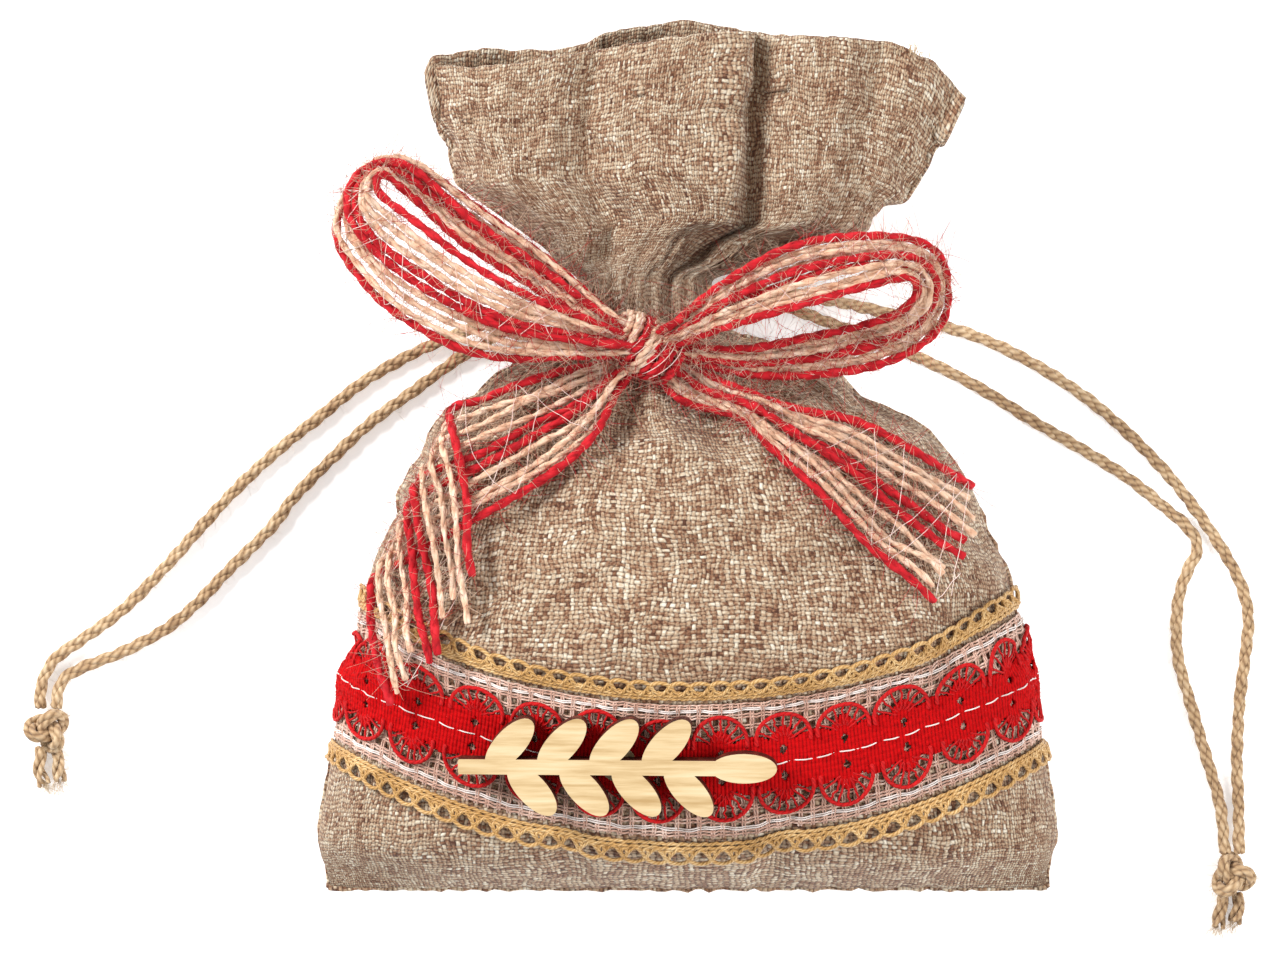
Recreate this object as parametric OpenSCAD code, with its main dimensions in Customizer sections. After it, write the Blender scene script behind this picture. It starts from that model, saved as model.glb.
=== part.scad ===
// Drawstring gift pouch of burlap cloth, filled and lying on its back, tied with a ribbon bow.
// Millimetres. +X is right, +Y runs from the bottom seam to the mouth, +Z is up from the table.

/* [Pouch body] */
// Width across the bottom of the pouch
pouch_w = 105; // [88:1:126]
// Length of the filled body, from its bottom seam to the casing
body_len = 80; // [67:1:96]
// Thickness of the filled belly
belly_t = 28; // [24:1:34]
// Height of the side seams above the table
seam_h = 8; // [7:0.5:10]
// Thickness of the burlap cloth
cloth_t = 0.8; // [0.65:0.05:1]
// Diameter of the sewn seam edges
seam_d = 1.2; // [0.8:0.1:1.6]

/* [Casing and frill] */
// Width of the gathered casing
neck_w = 23; // [22:0.5:28]
// Thickness of the pleated cloth in the middle of the neck
pleats_t = 3.8; // [3:0.2:4.6]
// Length of the frill above the casing
frill_len = 36; // [30:1:44]
// Width of the frill along its rim
frill_w = 75; // [62:1:90]
// Height of the front rim above the middle of the neck
front_lip_h = 6.5; // [5:0.5:8]
// Drop of the back rim below the middle of the neck
back_lip_h = 7; // [5.5:0.5:8]

/* [Drawstrings] */
// Diameter of the twisted jute drawstring
cord_d = 1.8; // [1.5:0.1:2.2]
// Travel left in each drawstring when the neck is drawn tight
pull_travel = 2.5; // [1:0.5:3]
// Gap around a drawstring inside the casing
cord_gap = 0.4; // [0.3:0.05:0.6]
// Diameter of the overhand knots
knot_d = 7; // [5.8:0.2:8.4]
// Height of the overhand knots
knot_h = 4.2; // [3.6:0.2:5]

/* [Band across the front] */
// Width of the open net band
net_w = 18; // [15:0.5:21]
// Width of the lace strip
lace_w = 13; // [11:0.5:14]
// Width of each scalloped braid
braid_w = 2.6; // [2:0.2:3.2]
// Height of the band's middle above the bottom seam
band_y = 18.9; // [17:0.5:24]
// Rise of the band's ends towards the mouth
band_rise = 12.3; // [8:0.5:14]

/* [Ornament] */
// Length of the wooden sprig
sprig_l = 43; // [36:1:50]
// Thickness of the wooden sprig
sprig_t = 2.4; // [2:0.2:3]

/* [Ribbon bow] */
// Thickness of the woven yarn ribbon
ribbon_t = 1.2; // [1:0.1:1.4]
// Diameter of the bow's knot
bow_knot_d = 8.4; // [7.4:0.2:9.2]
// Length of the bow's knot
bow_knot_l = 8.8; // [8:0.2:9.6]

/* [Hidden] */

// The casing is sized around two drawstrings side by side.
casing_wall = 0.8;
casing_end = 0.6;
casing_slack = 0.3;
casing_len = 2 * casing_end + 2 * cord_d + 3 * cord_gap;
run_z = pleats_t / 2 + cord_gap + cord_d / 2;
neck_t = 2 * (run_z + cord_d / 2 + cord_gap + casing_wall + casing_slack);
turn_x = neck_w / 2 - casing_wall - cord_gap - cord_d / 2 - run_z;
pleats_x = turn_x - pull_travel;
exit_l = neck_w / 3;

total_len = body_len + casing_len + frill_len;
bottom_y = -total_len / 2;
casing_y = bottom_y + body_len;
frill_y = casing_y + casing_len;
neck_x = -6;
neck_z = seam_h + 1;
left_cord_y = casing_y + casing_end + cord_gap + cord_d / 2;
right_cord_y = frill_y - casing_end - cord_gap - cord_d / 2;

// Shape of the filled body against the way from the bottom seam, 0, to the casing, 1.
width_shape = [[0, 0.975], [0.09, 1], [0.21, 0.96], [0.36, 0.89], [0.54, 0.79],
  [0.7, 0.665], [0.84, 0.48], [0.91, 0.33], [0.97, 0.13], [1, 0]];
rise_shape = [[0, 0.02], [0.02, 0.26], [0.06, 0.46], [0.12, 0.7], [0.22, 0.9], [0.35, 0.99],
  [0.5, 1], [0.65, 0.92], [0.78, 0.72], [0.88, 0.4], [0.95, 0.1], [1, 0]];
drop_shape = [[0, 0.05], [0.03, 0.6], [0.08, 1.05], [0.15, 1.3], [0.6, 1.3], [0.85, 1], [1, 0.7]];
lean_shape = [[0, 0], [0.55, 0], [0.75, 0.15], [0.9, 0.5], [1, 1]];
blur = 0.025;
body_rows = 20;
body_cols = 24;
corner_roundness = 0.75;
edge_slope = 2.2;
first_t = seam_d / body_len;

function mix(a, b, f) = a + (b - a) * f;
function unit(v) = v / norm(v);
function shaped(t, table) =
  (lookup(t - blur, table) + 2 * lookup(t, table) + lookup(t + blur, table)) / 4;
function half_width(t) = mix(neck_w / 2, pouch_w / 2 - seam_d, shaped(t, width_shape));
function centre_x(t) = neck_x * shaped(t, lean_shape);
function seam_z(t) = mix(seam_h, neck_z, t);
function front_rise(t) = min(mix(neck_t / 2, belly_t - seam_h, shaped(t, rise_shape)),
  cloth_t + edge_slope * body_len * (t - first_t));
function back_drop(t) = min(seam_h * shaped(t, drop_shape),
  cloth_t + edge_slope * body_len * (t - first_t));
function roundness(t) = mix(corner_roundness, 0.5, t * t * t * t);
function row_t(i) = mix(first_t, 1, 1 - cos(90 * i / body_rows));
function col_s(j) = 2 * j / body_cols - 1;
function way(y) = min(1, max(0, (y - bottom_y) / body_len));

function front_at(s, t, inset = 0) = [
  centre_x(t) + (half_width(t) - inset) * sin(90 * s),
  bottom_y + t * body_len,
  seam_z(t) + max(0.05, front_rise(t) - inset) * pow(cos(90 * s), roundness(t))];
function back_at(s, t, inset = 0) = [
  centre_x(t) + (half_width(t) - inset) * sin(90 * s),
  bottom_y + t * body_len,
  max(inset, seam_z(t) - max(0.05, back_drop(t) - inset) * pow(cos(90 * s), 0.5))];

// Height of the front cloth over a place on the table.
function front_z(x, y) = let (
  t = way(y),
  s = min(0.985, abs(x - centre_x(t)) / half_width(t)))
  seam_z(t) + front_rise(t) * pow(sqrt(1 - s * s), roundness(t));

// Outward normal of the front cloth.
function front_normal(s, t) = unit(cross(
  front_at(s + 0.01, t) - front_at(s - 0.01, t),
  front_at(s, t + 0.01) - front_at(s, t - 0.01)));

// A closed slab between two grids of points, each a list of rows.
module slab(upper, lower) {
  rows = len(upper);
  cols = len(upper[0]);
  below = rows * cols;
  function at(i, j) = i * cols + j;
  points = concat([for (row = upper) for (p = row) p], [for (row = lower) for (p = row) p]);
  faces = concat(
    [for (i = [0:rows - 2]) for (j = [0:cols - 2]) for (f = [
      [at(i, j), at(i + 1, j), at(i + 1, j + 1)], [at(i, j), at(i + 1, j + 1), at(i, j + 1)]]) f],
    [for (i = [0:rows - 2]) for (j = [0:cols - 2]) for (f = [
      [at(i, j), at(i + 1, j + 1), at(i + 1, j)], [at(i, j), at(i, j + 1), at(i + 1, j + 1)]])
      [for (k = f) k + below]],
    [for (i = [0:rows - 2]) for (f = [
      [at(i, 0), at(i, 0) + below, at(i + 1, 0) + below],
      [at(i, 0), at(i + 1, 0) + below, at(i + 1, 0)],
      [at(i, cols - 1), at(i + 1, cols - 1), at(i + 1, cols - 1) + below],
      [at(i, cols - 1), at(i + 1, cols - 1) + below, at(i, cols - 1) + below]]) f],
    [for (j = [0:cols - 2]) for (f = [
      [at(0, j), at(0, j + 1), at(0, j + 1) + below],
      [at(0, j), at(0, j + 1) + below, at(0, j) + below],
      [at(rows - 1, j + 1), at(rows - 1, j), at(rows - 1, j) + below],
      [at(rows - 1, j + 1), at(rows - 1, j) + below, at(rows - 1, j + 1) + below]]) f]);
  polyhedron(points, faces, convexity = 8);
}

// Direction of a path at one of its points.
function heading(path, i) =
  unit(path[min(i + 1, len(path) - 1)] - path[max(i - 1, 0)]);

// Sideways directions carried along a path without twist.
function carried(path, side, i = 0) = i == len(path) ? [] : let (
  t = heading(path, i),
  m = unit(side - t * (side * t)))
  concat([[m, cross(t, m)]], carried(path, m, i + 1));

// A round tube swept along a path.
module tube(path, d, sides = 8) {
  frames = carried(path, [0.1, 0.2, 1]);
  last = len(path) - 1;
  function at(i, k) = i * sides + k % sides;
  points = [for (i = [0:last]) for (k = [0:sides - 1])
    path[i] + d / 2 * (frames[i][0] * cos(360 * k / sides) + frames[i][1] * sin(360 * k / sides))];
  faces = concat(
    [for (i = [0:last - 1]) for (k = [0:sides - 1]) for (f = [
      [at(i, k), at(i + 1, k), at(i + 1, k + 1)], [at(i, k), at(i + 1, k + 1), at(i, k + 1)]]) f],
    [[for (k = [0:sides - 1]) k], [for (k = [sides - 1:-1:0]) at(last, k)]]);
  polyhedron(points, faces, convexity = 6);
}

// A ribbon as thick as t through rows of points across it.
module ribbon(rows, t) {
  last = len(rows) - 1;
  wide = len(rows[0]) - 1;
  function off(i, j) = t / 2 * unit(cross(
    rows[i][min(j + 1, wide)] - rows[i][max(j - 1, 0)],
    rows[min(i + 1, last)][j] - rows[max(i - 1, 0)][j]));
  slab([for (i = [0:last]) [for (j = [0:wide]) rows[i][j] + off(i, j)]],
    [for (i = [0:last]) [for (j = [0:wide]) rows[i][j] - off(i, j)]]);
}

// ---- Pouch cloth ----

module front_panel() {
  color("#cdb99a") slab(
    [for (i = [0:body_rows]) [for (j = [0:body_cols]) front_at(col_s(j), row_t(i))]],
    [for (i = [0:body_rows]) [for (j = [0:body_cols]) front_at(col_s(j), row_t(i), cloth_t)]]);
}

module back_panel() {
  color("#c4ad8c") slab(
    [for (i = [0:body_rows]) [for (j = [0:body_cols]) back_at(col_s(j), row_t(i), cloth_t)]],
    [for (i = [0:body_rows]) [for (j = [0:body_cols]) back_at(col_s(j), row_t(i))]]);
}

module side_seam(side) {
  color("#b49a78") tube([for (i = [0:body_rows]) let (t = row_t(i))
    [centre_x(t) + side * (half_width(t) + seam_d / 2), bottom_y + t * body_len, seam_z(t)]],
    seam_d);
}

module bottom_seam() {
  w = half_width(0);
  color("#b49a78") tube([for (k = [-6:6])
    [w * k / 6, bottom_y + seam_d / 2, seam_z(0)]], seam_d);
}

// ---- Casing: a cloth channel around the pleats, in two halves ----

function neck_outline(inset, from, to) = [for (k = [0:16]) let (a = mix(from, to, k / 16))
  [(neck_w / 2 - inset) * sin(a),
   (neck_t / 2 - inset) * sign(cos(a)) * sqrt(abs(cos(a)))]];

module pleats_outline() {
  hull() {
    translate([-pleats_x, 0]) circle(d = pleats_t, $fn = 24);
    translate([pleats_x, 0]) circle(d = pleats_t, $fn = 24);
  }
}

module casing_half(up) {
  from = up > 0 ? -90 : 90;
  color("#bfa683") difference() {
    translate([neck_x, frill_y, neck_z]) rotate([90, 0, 0]) difference() {
      linear_extrude(casing_len) polygon(neck_outline(0, from, from + 180));
      translate([0, 0, casing_end]) linear_extrude(casing_len - 2 * casing_end) difference() {
        polygon(neck_outline(casing_wall, from, from + 180));
        pleats_outline();
      }
    }
    translate([neck_x - neck_w / 2 - 1, left_cord_y, neck_z + up * run_z]) rotate([0, 90, 0])
      cylinder(d = cord_d + 2 * cord_gap, h = exit_l, $fn = 32);
    translate([neck_x + neck_w / 2 + 1, right_cord_y, neck_z + up * run_z]) rotate([0, -90, 0])
      cylinder(d = cord_d + 2 * cord_gap, h = exit_l, $fn = 32);
  }
}

module front_casing() { casing_half(1); }
module back_casing() { casing_half(-1); }

// ---- Frill: two flared cloths with soft pleats ----

frill_rows = 9;
frill_cols = 28;
pleat_h = 1.1;
lip_round = 0.14;

function frill_x(s, r) = mix(neck_x, 0.8, r)
  + mix(neck_w / 2, frill_w / 2, pow(sin(90 * r), 0.9)) * mix(sin(90 * s), s, r);
function frill_along(s, r, len) = frill_y + r * len * (1 - lip_round * pow(abs(s), 2.5) * r);
function frill_h(s, r, lip, waves) = cloth_t + mix(neck_t / 2 - cloth_t, lip, r)
  * pow(cos(90 * s), 0.6) + pleat_h * r * cos(90 * s) * cos(360 * waves * s);
function front_frill_at(s, r, inset) = [frill_x(s, r), frill_along(s, r, frill_len - 2.5),
  neck_z + frill_h(s, r, front_lip_h, 2.5) - inset];
function back_frill_at(s, r, inset) = [frill_x(s, r), frill_along(s, r, frill_len),
  neck_z - min(neck_z, frill_h(s, r, back_lip_h, 2)) + inset];

module front_frill() {
  color("#c8b090") slab(
    [for (i = [0:frill_rows]) [for (j = [0:frill_cols])
      front_frill_at(2 * j / frill_cols - 1, i / frill_rows, 0)]],
    [for (i = [0:frill_rows]) [for (j = [0:frill_cols])
      front_frill_at(2 * j / frill_cols - 1, i / frill_rows, cloth_t)]]);
}

module back_frill() {
  color("#bda483") slab(
    [for (i = [0:frill_rows]) [for (j = [0:frill_cols])
      back_frill_at(2 * j / frill_cols - 1, i / frill_rows, cloth_t)]],
    [for (i = [0:frill_rows]) [for (j = [0:frill_cols])
      back_frill_at(2 * j / frill_cols - 1, i / frill_rows, 0)]]);
}

// ---- Band across the front, laid on the cloth in layers ----

trim_gap = 0.15;
net_t = 0.5;
lace_t = 0.8;
thread_t = 0.4;
braid_t = 1.2;
band_cols = 24;
band_end = 0.96;
net_h = trim_gap;
lace_h = net_h + net_t + trim_gap;
lace_top = lace_h + lace_t;

function band_mid(s) = bottom_y + band_y + band_rise * sin(90 * s) * sin(90 * s);
function band_point(s, off, h) = let (t = way(band_mid(s) + off))
  front_at(s, t) + h * front_normal(s, t);

// A strip of the band: its place across the band, its width, its height over the cloth, its thickness.
module strip(off, w, h, t, tint) {
  rows = max(3, round(w / 3));
  function grid(up) = [for (i = [0:rows]) [for (j = [0:band_cols])
    band_point(band_end * (2 * j / band_cols - 1), off + w * (i / rows - 0.5), up)]];
  color(tint) slab(grid(h + t), grid(h));
}

braid_off = net_w / 2 + 0.3 + braid_w / 2;
thread_off = (lace_w + net_w) / 4;
thread_w = 0.8;

module net_band() { strip(0, net_w, net_h, net_t, "#a9705f"); }
module red_lace() { strip(0, lace_w, lace_h, lace_t, "#b50f14"); }
module lace_stitch() { strip(0, thread_w, lace_top + trim_gap, thread_t, "#f3ece6"); }
module upper_gold_braid() { strip(braid_off, braid_w, 2 * trim_gap, braid_t, "#b98a52"); }
module lower_gold_braid() { strip(-braid_off, braid_w, 2 * trim_gap, braid_t, "#b98a52"); }
module upper_white_thread() { strip(thread_off, thread_w, lace_h, thread_t, "#f3ece6"); }
module lower_white_thread() { strip(-thread_off, thread_w, lace_h, thread_t, "#f3ece6"); }

// ---- Wooden sprig, glued on the lace ----

sprig_s = -0.125;
glue_d = 5;
glue_t = 0.3;
glue_sink = 0.12;
sprig_h = lace_top + trim_gap + thread_t + glue_t;
leaf_l = 8.5;
leaf_w = 3.6;
stem_w = 1.6;

// Moves a child from flat on the table onto the front cloth at the sprig's place.
module on_band(s, h) {
  n = front_normal(s, way(band_mid(s)));
  translate(band_point(s, 0, h)) rotate([0, acos(n[2]), atan2(n[1], n[0])])
    rotate([0, 0, -atan2(n[1], n[0])]) children();
}

module leaf() {
  polygon([for (k = [-8:8]) [leaf_l / 2 * (1 + sin(11.25 * k)), leaf_w / 2 * cos(11.25 * k)],
    for (k = [7:-1:-7]) [leaf_l / 2 * (1 + sin(11.25 * k)), -leaf_w / 2 * cos(11.25 * k)]]);
}

module wooden_sprig() {
  half = sprig_l / 2;
  step = (sprig_l - leaf_l - 6) / 4;
  color("#dcc596") on_band(sprig_s, sprig_h) linear_extrude(sprig_t) offset(r = 0.25, $fn = 8) {
    translate([-half, -stem_w / 2]) square([sprig_l - leaf_l + 1, stem_w]);
    translate([half - leaf_l, 0]) leaf();
    for (k = [0:3]) translate([-half + 4 + k * step, 0]) {
      rotate(48) leaf();
      translate([3, 0]) rotate(-48) leaf();
    }
  }
}

module sprig_glue() {
  low = lace_top - glue_sink;
  color("#e9e2c8") on_band(sprig_s, low) cylinder(d = glue_d, h = sprig_h - low, $fn = 32);
}

// ---- Ribbon bow ----

bow_y = casing_y - 4;
bow_glue_t = 1.4;
// The knot clears the cloth under its middle and under its lower side, where the belly rises.
knot_side = 0.7;
bow_z = bow_glue_t + bow_knot_d / 2 + max(front_z(neck_x, bow_y),
  front_z(neck_x, bow_y - knot_side * bow_knot_d / 2) - bow_knot_d / 2 * (1 - sqrt(1 - knot_side * knot_side)));
root_gap = 1.3;
root_x = bow_knot_l / 2 + root_gap;

module bow_glue() {
  low = front_z(neck_x, bow_y) - glue_sink;
  color("#e9e2c8") translate([neck_x, bow_y, low])
    cylinder(d = glue_d, h = bow_z - bow_knot_d / 2 + glue_sink - low, $fn = 32);
}

module bow_knot() {
  bulge = 1.2;
  r = bow_knot_d / 2;
  color("#c06a52") translate([neck_x, bow_y, bow_z]) rotate([0, 90, 0]) rotate_extrude($fn = 48)
    polygon(concat([[0, -bow_knot_l / 2]],
      [for (k = [-6:6]) [r - bulge * (1 - cos(15 * k)), bow_knot_l / 2 * sin(15 * k)]],
      [[0, bow_knot_l / 2]]));
}

// Loops: half-width, and the middle of the ribbon from the knot's centre, over and under.
left_loop = [[1.9, -root_x, 1.6, 2.6], [5.2, -12, 4.4, 4.4], [7.6, -21, 8.2, 5.2],
  [8.4, -30, 12.6, 4.8], [8.4, -36.6, 15.6, 3.2], [8.2, -39.4, 17, 0.4], [8.2, -36.8, 15.9, -2.2],
  [8.4, -30, 13, -3.4], [7.6, -21, 8.6, -3], [5, -12, 4.6, -1], [1.9, -root_x, 1.6, 0]];
right_loop = [[1.9, root_x, 1.4, 2.6], [5.4, 12, 2.6, 4.4], [7.8, 21, 5, 5.2],
  [8.4, 30, 6.8, 4.6], [8, 37, 7.6, 2.8], [7.6, 40, 7.8, 0.2], [7.8, 37, 7.5, -2.2],
  [8.2, 30, 6.6, -3.2], [7.4, 21, 5, -2.2], [5, 12, 3, -0.6], [1.9, root_x, 1.4, 0]];
left_loop_across = unit([0.41, 0.91, 0]);
right_loop_across = unit([-0.15, 0.99, 0]);

module bow_loop(stations, across) {
  color("#c97a5c") ribbon([for (p = stations)
    [for (k = [-1:1]) [neck_x + p[1], bow_y + p[2], bow_z + p[3]] + p[0] * k * across]], ribbon_t);
}

module left_bow_loop() { bow_loop(left_loop, left_loop_across); }
module right_bow_loop() { bow_loop(right_loop, right_loop_across); }

// A tail that reaches the band lies on it.
tail_gap = 0.2;
band_stack = lace_top + trim_gap + thread_t + tail_gap;
band_reach = braid_off + braid_w / 2 + 2;
function tail_h(x, y, h) = let (s = min(1, abs(x - centre_x(way(y))) / half_width(way(y))))
  y < bottom_y + band_y + band_rise * s * s + band_reach ? max(h, band_stack) : h;

// Tails: upper and lower edge from the knot's centre, and height over the belly.
left_tail = [[-root_x, -2.2, -4, -6.2, 1.5], [-12, -3.6, -7.5, -13, 1.4],
  [-19, -5.6, -15, -19, 1.4], [-23.6, -7.2, -26, -25.4, 1.5], [-25.6, -8, -34.6, -30.4, 1.6],
  [-26.6, -8.2, -36.4, -31.8, 3], [-25.8, -8.8, -34.8, -31.2, 4.4], [-24.4, -13.6, -36, -35, 3.8],
  [-23.4, -21, -36.8, -39.6, 3.2], [-22.9, -29, -36.4, -43.4, 2.9], [-22.8, -36, -35, -47.6, 2.8]];
right_tail = [[root_x, -2.2, 4, -6.2, 1.5], [9.4, -4.6, 8.4, -7.8, 1.6], [13.4, -6.6, 14, -10, 1.8],
  [20, -8.8, 17.6, -13.6, 1.5], [28.6, -10.6, 23, -19, 1.4], [38.3, -15.2, 30, -27, 1.5],
  [43.4, -17.8, 36, -32, 1.7], [47.6, -20.2, 41, -36.4, 2.2]];

module bow_tail(stations) {
  color("#d39a76") ribbon([for (p = stations) [for (k = [0:3]) let (
    x = neck_x + mix(p[0], p[2], k / 3),
    y = bow_y + mix(p[1], p[3], k / 3))
    [x, y, front_z(x, y) + tail_h(x, y, p[4]) + ribbon_t / 2]]], ribbon_t);
}

module left_bow_tail() { bow_tail(left_tail); }
module right_bow_tail() { bow_tail(right_tail); }

// ---- Drawstrings: each goes through the front half, around the pleats and back ----

lie_z = cord_d / 2;

// Strands from the casing to the knot, as [x, y, height above lying].
left_front_route = [[-21, 20.9, 11.3], [-25, 19.8, 9.2], [-29, 18.6, 5], [-33, 17.2, 1.6],
  [-39, 14.6, 0], [-46, 10.6, 0], [-52, 5.8, 0], [-58, 1, 0], [-64, -4.6, 0], [-69, -10, 0],
  [-74, -15.6, 0], [-80, -21.6, 0], [-86, -26, 0], [-89.6, -28.6, 0], [-91.4, -32, 0.4],
  [-91.6, -35.4, 1]];
left_back_route = [[-21, 20.7, 4.8], [-25, 18.4, 2.6], [-29, 16, 0.8], [-33, 13.6, 0],
  [-39, 9.2, 0], [-45, 4.8, 0], [-51.6, -1.4, 0], [-56, -6, 0], [-59, -10, 0], [-65, -16, 0],
  [-69.6, -20.8, 0], [-74, -24.4, 0], [-80, -27.6, 0], [-85.6, -29.8, 0], [-88.6, -31.8, 0.4],
  [-89.4, -35.4, 1]];
right_front_route = [[9, 23.1, 11.2], [14, 22.8, 9], [20, 22, 5.4], [27, 20.6, 1.6], [34, 19, 0],
  [40, 17.4, 0], [46, 14.8, 0], [52, 11.4, 0], [58, 7.2, 0], [64, 1.8, 0], [69.6, -4.4, 0],
  [74.4, -11, 0], [78, -17.2, 0], [79.4, -22.4, 0], [79, -28, 0], [78.2, -34.4, 0],
  [77.8, -42.6, 0], [78, -49, 0.2], [78, -56, 1]];
right_back_route = [[9, 22.8, 4.8], [14, 21.2, 3], [22, 18.2, 0.8], [30, 15.2, 0], [36, 12.6, 0],
  [42, 9.4, 0], [49.4, 4.8, 0], [56, 1, 0], [62.4, -3, 0], [67.6, -7.2, 0], [71, -10.2, 0],
  [72.2, -13, 0], [70.6, -16.6, 0], [69.4, -21, 0], [69.4, -28, 0], [71.2, -34.8, 0],
  [73.6, -43, 0], [75.4, -49.4, 0.2], [76, -56, 1]];
left_knot_at = [-90.5, -38.6];
right_knot_at = [77, -59.2];
left_ends = [[[-91.5, -41.6], [-91.8, -44.4], [-91, -47]], [[-89.4, -41.6], [-89, -44], [-89, -46.4]]];
right_ends = [[[76, -62.2], [75.4, -64.6], [75, -67.4]], [[78, -62.2], [77.9, -64.4], [77.4, -66.6]]];

function laid(route) = [for (p = route) [p[0], p[1], p[2] + lie_z]];
function backwards(path) = [for (i = [len(path) - 1:-1:0]) path[i]];

// The turn inside the casing, on the side away from the strands.
function turn(side, y) = [for (k = [0:6])
  [neck_x - side * (turn_x + run_z * sin(30 * k)), y, neck_z + run_z * cos(30 * k)]];
function mouth_of_casing(side, y, up) = [neck_x + side * (neck_w / 2 + 0.4), y, neck_z + up * run_z];

module drawstring(side, y, front, back) {
  color("#c49a6c") tube(concat(backwards(laid(front)), [mouth_of_casing(side, y, 1)],
    turn(side, y), [mouth_of_casing(side, y, -1)], laid(back)), cord_d);
}

module overhand_knot(at) {
  r = knot_h / 2;
  color("#b78a5c") translate([at[0], at[1], r]) rotate_extrude($fn = 40)
    polygon(concat([[0, -r]],
      [for (k = [-6:6]) [knot_d / 2 - r + r * cos(15 * k), r * sin(15 * k)]], [[0, r]]));
}

module cut_ends(ends) {
  color("#c49a6c") for (path = ends) tube([for (p = path) [p[0], p[1], lie_z]], cord_d);
}

module left_drawstring() { drawstring(-1, left_cord_y, left_front_route, left_back_route); }
module right_drawstring() { drawstring(1, right_cord_y, right_front_route, right_back_route); }
module left_drawstring_knot() { overhand_knot(left_knot_at); }
module right_drawstring_knot() { overhand_knot(right_knot_at); }
module left_drawstring_ends() { cut_ends(left_ends); }
module right_drawstring_ends() { cut_ends(right_ends); }

front_panel();
back_panel();
side_seam(-1);  // left_side_seam
side_seam(1);  // right_side_seam
bottom_seam();
front_casing();
back_casing();
front_frill();
back_frill();
net_band();
red_lace();
lace_stitch();
upper_gold_braid();
lower_gold_braid();
upper_white_thread();
lower_white_thread();
wooden_sprig();
sprig_glue();
bow_glue();
bow_knot();
left_bow_loop();
right_bow_loop();
left_bow_tail();
right_bow_tail();
left_drawstring();
left_drawstring_knot();
left_drawstring_ends();
right_drawstring();
right_drawstring_knot();
right_drawstring_ends();
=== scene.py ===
# %% [markdown]
# # A drawstring gift pouch
# This lesson dresses a plain measured model of a small burlap pouch. The measured model says where
# every piece is and how big it is, so we load it first and take all the sizes from it. Lengths in
# the lesson are in millimetres, and one number turns them into Blender's metres.

# %% Load the measured model
import math

import bpy
import numpy as np
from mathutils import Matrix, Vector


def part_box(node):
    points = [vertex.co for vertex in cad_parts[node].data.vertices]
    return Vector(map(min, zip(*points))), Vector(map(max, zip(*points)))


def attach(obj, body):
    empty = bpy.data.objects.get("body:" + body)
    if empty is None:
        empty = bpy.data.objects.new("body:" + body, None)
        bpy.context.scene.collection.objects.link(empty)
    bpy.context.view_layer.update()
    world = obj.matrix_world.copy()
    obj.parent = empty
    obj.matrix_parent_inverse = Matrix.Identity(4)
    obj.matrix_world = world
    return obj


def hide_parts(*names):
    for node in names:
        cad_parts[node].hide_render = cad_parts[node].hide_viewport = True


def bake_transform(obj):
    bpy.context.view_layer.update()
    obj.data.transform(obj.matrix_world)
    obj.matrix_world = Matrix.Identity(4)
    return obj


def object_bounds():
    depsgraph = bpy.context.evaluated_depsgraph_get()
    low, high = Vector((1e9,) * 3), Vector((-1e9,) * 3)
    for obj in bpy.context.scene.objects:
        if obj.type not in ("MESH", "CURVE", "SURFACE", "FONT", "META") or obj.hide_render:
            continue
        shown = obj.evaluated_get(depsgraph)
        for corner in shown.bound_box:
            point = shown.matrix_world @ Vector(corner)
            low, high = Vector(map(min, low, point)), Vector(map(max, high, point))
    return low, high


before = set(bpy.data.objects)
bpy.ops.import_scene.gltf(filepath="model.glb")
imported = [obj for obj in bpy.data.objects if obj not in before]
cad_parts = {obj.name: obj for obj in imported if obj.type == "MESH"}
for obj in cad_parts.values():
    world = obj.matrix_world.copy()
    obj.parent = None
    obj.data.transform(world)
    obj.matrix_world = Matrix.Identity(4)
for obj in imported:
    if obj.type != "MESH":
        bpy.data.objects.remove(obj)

MM = 0.001
cad_low, cad_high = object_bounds()


def box_mm(node):
    """Lowest and highest corner of a measured node, in millimetres."""
    low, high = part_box(node)
    return np.array(low) / MM, np.array(high) / MM


casing_low, casing_high = box_mm("front_casing")
knot_low, knot_high = box_mm("bow_knot")
BOTTOM_Y = box_mm("bottom_seam")[0][1]
SEAM_R = 0.6
SEAM_Z = box_mm("bottom_seam")[1][2] - SEAM_R
POUCH_W = 105.0
NECK_X = (casing_low[0] + casing_high[0]) / 2
NECK_W = casing_high[0] - casing_low[0]
NECK_Z = casing_low[2]
NECK_T = 2 * (casing_high[2] - casing_low[2])
CASING_Y, FRILL_Y = casing_low[1], casing_high[1]
BELLY_Z = box_mm("front_panel")[1][2]
BODY_L = CASING_Y - BOTTOM_Y
BOW = (knot_low + knot_high) / 2
print("pouch body", round(BODY_L, 1), "mm long, belly", round(BELLY_Z, 1), "mm high")

# %% [markdown]
# ## The camera
# A flat lay is shot from straight above with a long lens, so the pouch shows little perspective.
# The field is as wide as the whole object with its cords, and a narrow margin, at the height of
# the cloth's middle.

# %% Camera
CAMERA_HEIGHT = 0.78
MARGIN = 0.0047
CLOTH_PLANE = 0.010
SENSOR_MM = 36
view_width = cad_high[0] - cad_low[0] + MARGIN
camera_data = bpy.data.cameras.new("camera")
camera_data.sensor_width = SENSOR_MM
camera_data.lens = SENSOR_MM * (CAMERA_HEIGHT - CLOTH_PLANE) / view_width
camera = bpy.data.objects.new("camera", camera_data)
bpy.context.scene.collection.objects.link(camera)
camera.location = ((cad_low[0] + cad_high[0]) / 2, (cad_low[1] + cad_high[1]) / 2, CAMERA_HEIGHT)
bpy.context.scene.camera = camera
print("lens", round(camera_data.lens), "mm")

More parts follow.
